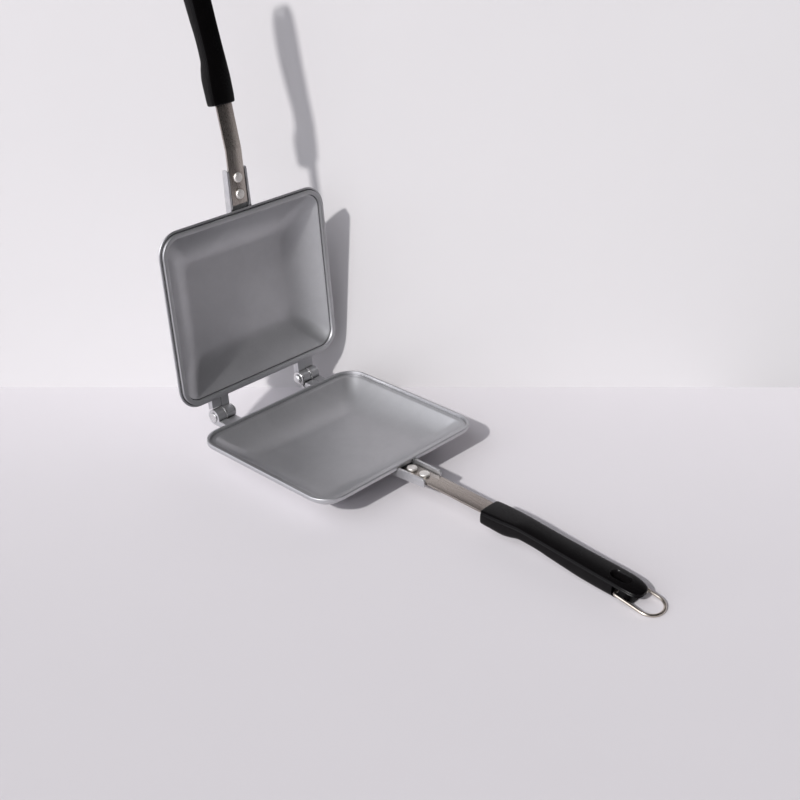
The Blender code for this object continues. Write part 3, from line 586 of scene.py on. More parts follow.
class Bench:
    """One new piece on the bench: a primitive that edit-mode operators and modifiers shape."""

    def __init__(self, item: bpy.types.Object, name: str) -> None:
        """Takes a fresh primitive and names it.

        Args:
            item: the primitive's object.
            name: the piece's name.
        """
        self.item = item
        item.name = name
        item.data.name = name

    @classmethod
    def block(cls, name: str, low: Point, high: Point) -> "Bench":
        """A cube stretched between two corners.

        Args:
            name: the piece's name.
            low: its lowest corner.
            high: its highest corner.

        Returns:
            Its bench.
        """
        deselect_everything()
        bpy.ops.mesh.primitive_cube_add(size=1.0, location=(Vector(low) + Vector(high)) / 2)
        bpy.context.object.scale = Vector(high) - Vector(low)
        bpy.ops.object.transform_apply(location=True, rotation=True, scale=True)
        return cls(bpy.context.object, name)

    @classmethod
    def rod(cls, name: str, radius: float, start: Point, end: Point, vertices: int = 56) -> "Bench":
        """A cylinder.

        Args:
            name: the piece's name.
            radius: its radius.
            start: the middle of one end.
            end: the middle of the other end.
            vertices: how many sides it has.

        Returns:
            Its bench.
        """
        deselect_everything()
        axis = Vector(end) - Vector(start)
        bpy.ops.mesh.primitive_cylinder_add(
            vertices=vertices, radius=radius, depth=axis.length, location=(Vector(start) + Vector(end)) / 2,
            rotation=axis.to_track_quat("Z", "Y").to_euler(),
        )
        bpy.ops.object.transform_apply(location=True, rotation=True, scale=True)
        return cls(bpy.context.object, name)

    @classmethod
    def lofted(cls, name: str, rings: Sequence[Sequence[Point]]) -> "Bench":
        """A closed skin over rings, capped at both ends.

        Args:
            name: the piece's name.
            rings: rings of points, equal in count.

        Returns:
            Its bench.
        """
        deselect_everything()
        count = len(rings[0])
        faces = [
            (r * count + i, r * count + (i + 1) % count, (r + 1) * count + (i + 1) % count, (r + 1) * count + i)
            for r in range(len(rings) - 1)
            for i in range(count)
        ]
        faces += [tuple(range(count))[::-1], tuple((len(rings) - 1) * count + i for i in range(count))]
        mesh = bpy.data.meshes.new(name)
        mesh.from_pydata([point for ring in rings for point in ring], [], faces)
        item = bpy.data.objects.new(name, mesh)
        bpy.context.scene.collection.objects.link(item)
        return cls(item, name).outward()

    def activate(self) -> None:
        """Selects this piece alone and makes it the active one."""
        deselect_everything()
        self.item.select_set(True)
        bpy.context.view_layer.objects.active = self.item

    def edit(self) -> bmesh.types.BMesh:
        """Enters edit mode on this piece.

        Returns:
            Its edit mesh.
        """
        if self.item.mode != "EDIT":
            self.activate()
            bpy.ops.object.mode_set(mode="EDIT")
        return bmesh.from_edit_mesh(self.item.data)

    def pick(self, kind: Pick, test: Callable[[Vector, Vector], bool]) -> "Bench":
        """Selects what passes a test.

        Args:
            kind: vertices, edges or faces.
            test: takes the element's middle and its direction, which is a face's or vertex's normal or an
                edge's own run.

        Returns:
            This bench.
        """
        self.edit()
        bpy.ops.mesh.select_mode(type=kind.name)
        bpy.ops.mesh.select_all(action="DESELECT")
        bm = bmesh.from_edit_mesh(self.item.data)
        for element in list(getattr(bm, kind.value)):
            if kind is Pick.VERT:
                middle, way = element.co, element.normal
            elif kind is Pick.EDGE:
                ends = element.verts
                middle, way = (ends[0].co + ends[1].co) / 2, (ends[1].co - ends[0].co).normalized()
            else:
                middle, way = element.calc_center_median(), element.normal
            if test(middle, way):
                element.select_set(True)
        bm.select_flush_mode()
        bmesh.update_edit_mesh(self.item.data)
        return self

    def extrude(self, offset: Point) -> "Bench":
        """Extrudes the selected faces."""
        bpy.ops.mesh.extrude_region_move(TRANSFORM_OT_translate={"value": offset})
        return self

    def move(self, offset: Point) -> "Bench":
        """Moves the selection."""
        bpy.ops.transform.translate(value=offset)
        return self

    def resize(self, factors: Point, centre: Point = (0.0, 0.0, 0.0)) -> "Bench":
        """Scales the selection about a point."""
        bpy.ops.transform.resize(value=factors, center_override=centre)
        return self

    def inset(self, width: float, rise: float = 0.0) -> "Bench":
        """Insets the selected face, raising its middle along its normal."""
        bpy.ops.mesh.inset(thickness=width, depth=rise, use_even_offset=True)
        return self

    def split(self, point: Point, direction: Point) -> "Bench":
        """Cuts new edges where a plane crosses the piece.

        Args:
            point: a point of the plane.
            direction: its normal.

        Returns:
            This bench.
        """
        self.edit()
        bpy.ops.mesh.select_all(action="SELECT")
        bpy.ops.mesh.bisect(plane_co=point, plane_no=direction)
        return self

    def bevel(self, width: float, segments: int) -> "Bench":
        """Rounds the selected edges."""
        bpy.ops.mesh.bevel(offset=width, segments=segments, affect="EDGES", offset_type="OFFSET")
        return self

    def outward(self) -> "Bench":
        """Turns every face outwards.

        Returns:
            This bench.
        """
        self.edit()
        bpy.ops.mesh.select_all(action="SELECT")
        bpy.ops.mesh.normals_make_consistent(inside=False)
        deselect_everything()
        return self

    def apply(self, kind: str, **settings: object) -> "Bench":
        """Adds a modifier and applies it.

        Args:
            kind: the modifier's type.
            settings: its properties.

        Returns:
            This bench.
        """
        deselect_everything()
        modifier = self.item.modifiers.new(kind.lower(), kind)
        for name, value in settings.items():
            setattr(modifier, name, value)
        self.activate()
        bpy.ops.object.modifier_apply(modifier=modifier.name)
        return self

    def combine(self, operation: str, *others: "Bench") -> "Bench":
        """Joins other pieces to this one, or cuts them from it, and clears them away.

        Args:
            operation: UNION or DIFFERENCE.
            others: the benches of the other pieces.

        Returns:
            This bench.
        """
        for other in others:
            deselect_everything()
            self.apply("BOOLEAN", operation=operation, solver="EXACT", object=other.item)
            bpy.data.objects.remove(other.item, do_unlink=True)
        return self

    def soften(self, width: float, segments: int = 3, angle: float = 40.0) -> "Bench":
        """Rounds every sharp edge.

        Args:
            width: the width of the round.
            segments: how many faces go across it.
            angle: the angle in degrees over which an edge is sharp.

        Returns:
            This bench.
        """
        return self.apply(
            "BEVEL", width=width, segments=segments, limit_method="ANGLE", angle_limit=math.radians(angle),
            use_clamp_overlap=True, miter_outer="MITER_ARC",
        )

    def mirrored(self, name: str) -> "Bench":
        """A copy with its own mesh, reflected across the middle of the iron.

        Args:
            name: the copy's name.

        Returns:
            Its bench.
        """
        deselect_everything()
        copy = self.item.copy()
        copy.data = self.item.data.copy()
        bpy.context.scene.collection.objects.link(copy)
        copy.data.transform(Matrix.Scale(-1, 4, Vector((1, 0, 0))))
        copy.data.flip_normals()
        return Bench(copy, name)

    def mark(self, wear: Wear = Wear()) -> None:
        """Stores each point's place on the half and how worn its edges are.

        Args:
            wear: when an edge looks worn.
        """
        deselect_everything()
        mesh = self.item.data
        bm = bmesh.new()
        bm.from_mesh(mesh)
        bm.normal_update()
        worn = []
        for vert in bm.verts:
            turns = [
                edge.calc_face_angle_signed(0.0) / max(edge.calc_length(), wear.shortest)
                for edge in vert.link_edges if edge.is_manifold
            ]
            worn.append(min(max(max(turns, default=0.0) / wear.full - wear.start, 0.0), 1.0))
        bm.free()
        place = mesh.attributes.new(HALF_PLACE, "FLOAT_VECTOR", "POINT")
        flat = np.zeros(len(mesh.vertices) * 3, np.float32)
        mesh.vertices.foreach_get("co", flat)
        place.data.foreach_set("vector", flat)
        mesh.attributes.new(EDGE_WEAR, "FLOAT", "POINT").data.foreach_set("value", np.array(worn, np.float32))

    def dress(
        self, material: bpy.types.Material, body: str, slot: str, replaced: Sequence[str] = (),
        matrix: Matrix | None = None, smooth: float = 40.0,
    ) -> None:
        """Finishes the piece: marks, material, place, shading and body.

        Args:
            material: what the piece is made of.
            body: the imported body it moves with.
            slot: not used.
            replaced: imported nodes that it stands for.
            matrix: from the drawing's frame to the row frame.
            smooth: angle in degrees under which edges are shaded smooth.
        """
        self.mark()
        mesh = self.item.data
        if matrix is not None:
            mesh.transform(matrix)
            if matrix.determinant() < 0:
                mesh.flip_normals()
        mesh.materials.clear()
        mesh.materials.append(material)
        self.activate()
        bpy.ops.object.shade_smooth_by_angle(angle=math.radians(smooth))
        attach(self.item, body)
        if replaced:
            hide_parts(*replaced)
        LOG.info("%s: %d faces, rides on %s", self.item.name, len(mesh.polygons), body)


# ---- sizes that both halves share


@dataclass
class HingeSizes:
    """Where the hinge axis is and how its knuckles are spaced."""

    setback: float = 0.01237
    rise: float = 0.00075
    station: float = 0.0329
    radius: float = 0.0054
    length: float = 0.0065
    gap: float = 0.0018
    relief: float = 0.0008
    drop: float = 0.0004
    bore: float = 0.0025
    opened_deg: float = 95.73


@dataclass
class PanSizes:
    """Outline and section of a dished pan."""

    width: float = 0.146
    depth: float = 0.1238
    height: float = 0.0215
    corner: float = 0.016
    lip: float = 0.0018
    land: float = 0.0038
    land_depth: float = 0.0022
    tongue_gap: float = 0.0003
    tongue: float = 0.0029
    tongue_height: float = 0.0019
    cavity_depth: float = 0.016
    cavity_power: float = 2.0
    floor_inset: float = 0.032
    wall_inset: float = 0.030
    wall_drop: float = 0.0198
    wall_power: float = 1.4
    foot_inset: float = 0.025
    parting: float = 0.0003
    cavity_steps: int = 30
    wall_steps: int = 18
    corner_steps: int = 16


@dataclass
class HalfSizes:
    """The sizes in which the two halves differ."""

    which: Which
    body: str
    rim_band: float
    lug: float
    channel_length: float
    channel_end: float
    channel_root: float
    strip_drop: float
    strip_setback: float
    bend_start: float
    bend_deg: float
    rivets: Pair
    rivet_crown: float


LOWER_SIZES = HalfSizes(
    Which.LOWER, "base", rim_band=0.0028, lug=0.00425, channel_length=0.0228, channel_end=0.0070,
    channel_root=0.0083, strip_drop=0.00425, strip_setback=0.0008, bend_start=0.0245, bend_deg=1.6,
    rivets=(0.0048, 0.0156), rivet_crown=0.00075,
)
UPPER_SIZES = HalfSizes(
    Which.UPPER, "lid", rim_band=0.0008, lug=0.0049, channel_length=0.0270, channel_end=0.0064,
    channel_root=0.0071, strip_drop=0.00185, strip_setback=0.0028, bend_start=0.0395, bend_deg=8.0,
    rivets=(0.0096, 0.0210), rivet_crown=0.0014,
)


@dataclass
class Half:
    """One half of the iron: its sizes and the way from its own frame to the row frame."""

    sizes: HalfSizes
    pan: PanSizes = field(default_factory=PanSizes)
    hinge: HingeSizes = field(default_factory=HingeSizes)

    @property
    def name(self) -> str:
        """The half's name, which starts its pieces' names."""
        return self.sizes.which.value

    @property
    def is_upper(self) -> bool:
        """Whether this is the half that stands open."""
        return self.sizes.which is Which.UPPER

    @property
    def front(self) -> float:
        """Y of the rim's front edge."""
        return -self.pan.depth / 2

    @property
    def hinge_y(self) -> float:
        """Y of the hinge axis."""
        return self.pan.depth / 2 + self.hinge.setback

    @property
    def axis_height(self) -> float:
        """Height of the hinge axis above this half's rim plane."""
        return self.pan.parting - self.hinge.rise if self.is_upper else self.hinge.rise

    @property
    def matrix(self) -> Matrix:
        """The way from the half frame to the row frame, with the lid standing open.

        Returns:
            The matrix.
        """
        lift = Matrix.Translation((0, 0, self.pan.height))
        if not self.is_upper:
            return lift
        pivot = Matrix.Translation((0, self.hinge_y, self.pan.height + self.hinge.rise))
        turn = Matrix.Rotation(-math.radians(self.hinge.opened_deg), 4, "X")
        raised = Matrix.Translation((0, 0, self.pan.height + self.pan.parting))
        over = raised @ Matrix.Scale(-1, 4, Vector((0, 0, 1)))
        return pivot @ turn @ pivot.inverted() @ over


# ---- pans


@dataclass
class Pan:
    """A dished pan: shell, hinge lugs and the channel for the handle strip."""

    half: Half
    shade_angle: float = 50.0
    rim_round: float = 0.0006
    rim_segments: int = 5
    seal_round: float = 0.0002
    seal_angle_deg: float = 28.0
    root_groove: float = 0.0005
    cast_round: float = 0.0004
    channel_round: float = 0.00036
    root: float = 0.0009
    root_shoulder: float = 0.0027
    lug_root: float = 0.006
    lug_setback: float = 0.0049
    channel_root: float = 0.0085
    channel_width: float = 0.017
    channel_wall: float = 0.0018
    channel_drop: float = 0.00145
    channel_flare: float = 0.0005
    trough_flare: float = 0.0011
    channel_end_round: float = 0.002
    channel_end_segments: int = 8
    web: float = 0.0011
    strip_thickness: float = 0.0014
    touch_gap: float = 0.0003
    pocket_depth: float = 0.0011
    pocket_drop: float = 0.0009
    pocket_bottom: float = 0.012
    tooth_radius: float = 0.0076
    tooth_root: float = 0.003
    tooth_start_deg: float = 47.6
    tooth_width_deg: float = 30.0
    tooth_steps: int = 9
    knuckle_sides: int = 72
    bore_sides: int = 40
    relief_past: float = 0.002
    bore_past: float = 0.003
    trough_past: float = 0.01
    trough_inward: float = 0.03

    def shell(self) -> Bench:
        """The dished shell, from its foot pad over the rim to the cavity floor.

        Returns:
            Its bench.
        """
        pan, sizes = self.half.pan, self.half.sizes
        half_x, half_y = pan.width / 2, pan.depth / 2
        bench = Bench.block(f"{self.half.name}_shell", (-half_x, -half_y, -sizes.rim_band), (half_x, half_y, 0))
        bench.pick(Pick.EDGE, lambda middle, way: abs(way.z) > MOSTLY).bevel(pan.corner, pan.corner_steps)
        bench.pick(Pick.EDGE, lambda middle, way: abs(middle.z) < NEAR).bevel(self.rim_round, self.rim_segments)
        bench.pick(Pick.FACE, lambda middle, way: way.z > LEVEL)
        seal = pan.lip + pan.land
        if self.half.is_upper:
            bench.inset(pan.lip + pan.tongue_gap - self.rim_round - self.root_groove)
            bench.extrude((0, 0, -self.root_groove)).inset(self.root_groove)
            bench.extrude((0, 0, pan.tongue_height + self.root_groove)).inset(pan.tongue)
            bench.extrude((0, 0, -pan.tongue_height - self.root_groove))
            bench.inset(seal - pan.lip - pan.tongue_gap - pan.tongue, self.root_groove)
        else:
            bench.inset(pan.lip - self.rim_round)
            bench.extrude((0, 0, -pan.land_depth)).inset(pan.land)
        self._draw_in(bench, self._cavity_stations(seal, 0.0 if self.half.is_upper else -pan.land_depth))
        bench.pick(Pick.FACE, lambda middle, way: way.z < -MOSTLY)
        bench.inset(seal / 2, -(self._wall_height(seal / 2) + sizes.rim_band))
        bench.inset(seal / 2, self._wall_height(seal / 2) - self._wall_height(seal))
        insets = np.linspace(seal, pan.foot_inset, pan.wall_steps)
        self._draw_in(bench, [(inset, self._wall_height(inset)) for inset in insets])
        bench.extrude((0, 0, -pan.height - self._wall_height(pan.foot_inset)))
        return bench.outward().soften(self.seal_round, angle=self.seal_angle_deg)

    def _wall_height(self, inset: float) -> float:
        """Height of the outer wall at a distance in from the rim's edge.

        Args:
            inset: the distance.

        Returns:
            The height.
        """
        pan, band = self.half.pan, self.half.sizes.rim_band
        fall = 1 - (1 - inset / pan.wall_inset) ** pan.wall_power
        return -(band + (pan.wall_drop - band) * fall)

    def _cavity_stations(self, inset: float, height: float) -> list[Pair]:
        """Places down the cavity's wall, which starts steep and levels out.

        Args:
            inset: where it starts, in from the rim's edge.
            height: the height at which it starts.

        Returns:
            The inset and height of each.
        """
        pan = self.half.pan
        shares = [step / pan.cavity_steps for step in range(pan.cavity_steps + 1)]
        return [
            (
                inset + share * (pan.floor_inset - inset),
                height + (-pan.cavity_depth - height) * (1 - (1 - share) ** pan.cavity_power),
            )
            for share in shares
        ]

    def _draw_in(self, bench: Bench, stations: Sequence[Pair]) -> None:
        """Extrudes the selected floor from place to place and draws it in.

        Args:
            bench: the shell, with its floor selected.
            stations: inset and height of each place, from where the floor is now.
        """
        pan = self.half.pan
        for (inset, height), (next_inset, next_height) in zip(stations, stations[1:]):
            bench.extrude((0, 0, next_height - height))
            across = (pan.width / 2 - next_inset) / (pan.width / 2 - inset)
            along = (pan.depth / 2 - next_inset) / (pan.depth / 2 - inset)
            bench.resize((across, along, 1.0), (0, 0, next_height))

    def pocket(self) -> Bench:
        """Cutter for the pocket under the rim's lip where the strip's end is tucked.

        Returns:
            Its bench.
        """
        front, wide = self.half.front, self.channel_width / 2 - self.channel_wall - self.touch_gap
        low = (-wide, front - self.pocket_depth, -self.pocket_bottom)
        return Bench.block("pocket_cutter", low, (wide, front + self.pocket_depth, -self.pocket_drop))

    def lug(self) -> Bench:
        """The hinge lug on the +X side: block, web, knuckle and bore, with the stop tooth on the upper half.

        Returns:
            Its bench.
        """
        half, hinge, step = self.half, self.half.hinge, self.touch_gap
        rear, axis_y, axis_z = half.pan.depth / 2, half.hinge_y, half.axis_height
        top, bottom = -hinge.drop, -hinge.drop - half.sizes.lug
        outer = hinge.station + 2 * hinge.length + hinge.gap
        start = hinge.station if half.is_upper else hinge.station + hinge.length + hinge.gap
        bench = Bench.block(
            f"{half.name}_lug_right", (hinge.station + step, rear - self.root, bottom + step),
            (outer - step, axis_y - self.lug_setback, top - step),
        )
        self._sink_root(bench, rear, -self.lug_root, bottom + step)
        relief_ends = [(x, axis_y, axis_z) for x in (hinge.station - self.relief_past, outer + self.relief_past)]
        relief = Bench.rod("relief", hinge.radius + hinge.relief, *relief_ends, self.knuckle_sides)
        bench.combine("DIFFERENCE", relief)
        web = Bench.block("web", (start, rear - self.root, bottom), (start + hinge.length, axis_y, top))
        self._sink_root(web, rear, -self.lug_root, bottom)
        ends = [(x, axis_y, axis_z) for x in (start, start + hinge.length)]
        parts = [web, Bench.rod("knuckle", hinge.radius, *ends, self.knuckle_sides)]
        if half.is_upper:
            parts.append(self._tooth(start, axis_y, axis_z))
        bench.combine("UNION", *parts)
        bore_ends = [(x, axis_y, axis_z) for x in (start - self.bore_past, start + hinge.length + self.bore_past)]
        bench.combine("DIFFERENCE", Bench.rod("bore", hinge.bore, *bore_ends, self.bore_sides))
        return bench.outward().soften(self.cast_round)

    def _tooth(self, start: float, axis_y: float, axis_z: float) -> Bench:
        """The tooth that meets the lower lug when the lid stands open.

        Args:
            start: X of its inner end.
            axis_y: Y of the hinge axis.
            axis_z: height of the hinge axis.

        Returns:
            Its bench.
        """
        hinge = self.half.hinge
        first = -(self.tooth_start_deg + hinge.opened_deg)
        corners = [
            (self.tooth_radius, math.radians(first - self.tooth_width_deg * share))
            for share in np.linspace(0, 1, self.tooth_steps)
        ]
        corners.append((self.tooth_root, math.radians(first - self.tooth_width_deg / 2)))
        rings = [
            [(x, axis_y - reach * math.cos(angle), axis_z - reach * math.sin(angle)) for reach, angle in corners]
            for x in (start, start + hinge.length)
        ]
        return Bench.lofted("tooth", rings)

    def _sink_root(self, bench: Bench, rim: float, inward: float, bottom: float) -> None:
        """Draws a block's lower root edge deep into the pan, below its seal.

        Args:
            bench: the block.
            rim: Y of the rim's edge at which it stands.
            inward: how far it is drawn, with the sign of the way in.
            bottom: height of the edge.
        """
        near = rim + math.copysign(self.root, inward)
        bench.split((0, 0, -self.root_shoulder), (0, 0, 1))
        bench.pick(Pick.VERT, lambda at, way: abs(at.y - near) < NEAR and abs(at.z - bottom) < NEAR)
        bench.move((0, rim + inward - near, 0))

    def channel(self) -> Bench:
        """The channel at the pan's front: two flared walls joined by a web, its outer end rounded.

        Returns:
            Its bench.
        """
        sizes, front = self.half.sizes, self.half.front
        end, wide = front - sizes.channel_length, self.channel_width / 2
        top, bottom = -self.channel_drop, -sizes.channel_root
        bench = Bench.block(f"{self.half.name}_channel", (-wide, end, bottom), (wide, front + self.root, top))
        bench.pick(Pick.VERT, lambda at, way: at.y < end + NEAR and at.z < bottom + NEAR)
        bench.move((0, 0, sizes.channel_root - sizes.channel_end))
        self._sink_root(bench, front, self.channel_root, bottom)
        bench.pick(Pick.VERT, lambda at, way: at.y > front)
        bench.resize(((wide + self.channel_flare) / wide, 1, 1))
        bench.pick(Pick.EDGE, lambda at, way: at.y < end + NEAR and at.z > top - NEAR and abs(way.x) > MOSTLY)
        bench.bevel(self.channel_end_round, self.channel_end_segments)
        inner = wide - self.channel_wall
        web_top = -(sizes.strip_drop + self.strip_thickness + self.touch_gap)
        cut_start, cut_end = end - self.trough_past, front + self.trough_inward
        above, below = self.trough_past, -self.trough_inward
        trough = Bench.block("trough", (-inner, cut_start, web_top), (inner, cut_end, above))
        under = Bench.block("under", (-inner, cut_start, below), (inner, cut_end, web_top - self.web))
        mouth = Bench.block("mouth", (-inner, cut_start, below), (inner, end + self.channel_end_round / 2, above))
        for cutter in (trough, under):
            cutter.pick(Pick.VERT, lambda at, way: at.y > front)
            cutter.resize(((inner + self.trough_flare) / inner, 1, 1))
        bench.combine("DIFFERENCE", trough, under, mouth)
        return bench.outward().soften(self.channel_round)

    def build(self, metal: bpy.types.Material) -> None:
        """Makes and dresses the pan's pieces.

        Args:
            metal: what they are cast in.
        """
        name, body, matrix = self.half.name, self.half.sizes.body, self.half.matrix
        slot = f"{name}_pan"
        shell = self.shell().combine("DIFFERENCE", self.pocket())
        shell.dress(metal, body, slot, (slot,), matrix, self.shade_angle)
        right = self.lug()
        left = right.mirrored(f"{name}_lug_left")
        for part in (right, left, self.channel()):
            part.dress(metal, body, slot, (), matrix)


# ---- handles


@dataclass
class Handle:
    """The strip, its rivets and the grip of one half."""

    half: Half
    grip_distance: float = 0.0691
    strip_width: float = 0.013
    strip_thickness: float = 0.0014
    strip_round: float = 0.00022
    tang: float = 0.018
    bend_radius: float = 0.004
    bend_steps: int = 8
    rivet_radius: float = 0.0035
    rivet_height: float = 0.0018
    rivet_segments: int = 7
    rivet_round: float = 0.00012
    rivet_angle: float = 45.0
    shank_radius: float = 0.002
    shank_sides: int = 40
    tail_radius: float = 0.0031
    tail_height: float = 0.0009
    tail_crown: float = 0.0006
    tail_segments: int = 5
    tail_sides: int = 48
    web: float = 0.0011
    touch_gap: float = 0.0003

    @property
    def slope(self) -> float:
        """Angle by which the strip bends away from the rim plane."""
        return math.radians(self.half.sizes.bend_deg)

    @property
    def grip_front(self) -> Pair:
        """Y and height of the grip's front face on the strip's middle."""
        return self.centre_line()[-2]

    def centre_line(self) -> list[Pair]:
        """The strip's middle, from under the rim to its end inside the grip.

        Returns:
            Y and height of each point.
        """
        sizes, front = self.half.sizes, self.half.front
        height = -(sizes.strip_drop + self.strip_thickness / 2)
        line = [(front - sizes.strip_setback, height)]
        for step in range(self.bend_steps + 1):
            angle = self.slope * step / self.bend_steps
            y = front - sizes.bend_start - self.bend_radius * math.sin(angle)
            line.append((y, height - self.bend_radius * (1 - math.cos(angle))))
        last_y, last_z = line[-1]
        grip_y = front - self.grip_distance
        grip_z = last_z - (last_y - grip_y) * math.tan(self.slope)
        tang_end = (grip_y - self.tang * math.cos(self.slope), grip_z - self.tang * math.sin(self.slope))
        return [*line, (grip_y, grip_z), tang_end]

    def strip(self) -> Bench:
        """The steel strip, drawn out length by length from a short block.

        Returns:
            Its bench.
        """
        line = self.centre_line()
        half_x, rise = self.strip_width / 2, self.strip_thickness / 2
        (first_y, first_z), (next_y, _) = line[0], line[1]
        low = (-half_x, next_y, first_z - rise)
        bench = Bench.block(f"{self.half.name}_blade", low, (half_x, first_y, first_z + rise))
        bench.pick(Pick.FACE, lambda middle, way: way.y < -MOSTLY)
        for (y, z), (after_y, after_z) in zip(line[1:], line[2:]):
            bench.extrude((0, after_y - y, after_z - z))
        return bench.outward().soften(self.strip_round, 2)

    def rivet(self, index: int) -> Bench:
        """A rivet: flat or rounded head on the strip, shank, and a peened tail under the web.

        Args:
            index: 0 for the rear one, 1 for the front one.

        Returns:
            Its bench.
        """
        sizes = self.half.sizes
        y, seat = self.half.front - sizes.rivets[index], -sizes.strip_drop + self.touch_gap / 3
        crest = seat + self.rivet_height
        label = ("rear", "front")[index]
        head = Bench.rod(f"{self.half.name}_rivet_head_{label}", self.rivet_radius, (0, y, seat), (0, y, crest))
        head.pick(Pick.EDGE, lambda at, way: at.z > crest - NEAR).bevel(sizes.rivet_crown, self.rivet_segments)
        under = -sizes.strip_drop - self.strip_thickness - self.web - self.touch_gap
        foot = under - self.tail_height
        shank_ends = ((0, y, (under + foot) / 2), (0, y, (seat + crest) / 2))
        shank = Bench.rod("shank", self.shank_radius, *shank_ends, self.shank_sides)
        tail = Bench.rod("tail", self.tail_radius, (0, y, foot), (0, y, under), self.tail_sides)
        tail.pick(Pick.EDGE, lambda at, way: at.z < foot + NEAR).bevel(self.tail_crown, self.tail_segments)
        return head.combine("UNION", shank, tail).soften(self.rivet_round, 2, self.rivet_angle)

    def build(self, steel: bpy.types.Material, rivet_metal: bpy.types.Material) -> None:
        """Makes and dresses the strip and its rivets.

        Args:
            steel: what the strip is made of.
            rivet_metal: what the rivets are made of.
        """
        name, body, matrix = self.half.name, self.half.sizes.body, self.half.matrix
        self.strip().dress(steel, body, f"{name}_strip", (f"{name}_strip",), matrix)
        for index, label in enumerate(("rear", "front")):
            node = f"{name}_rivet_{label}"
            self.rivet(index).dress(rivet_metal, body, node, (node,), matrix)


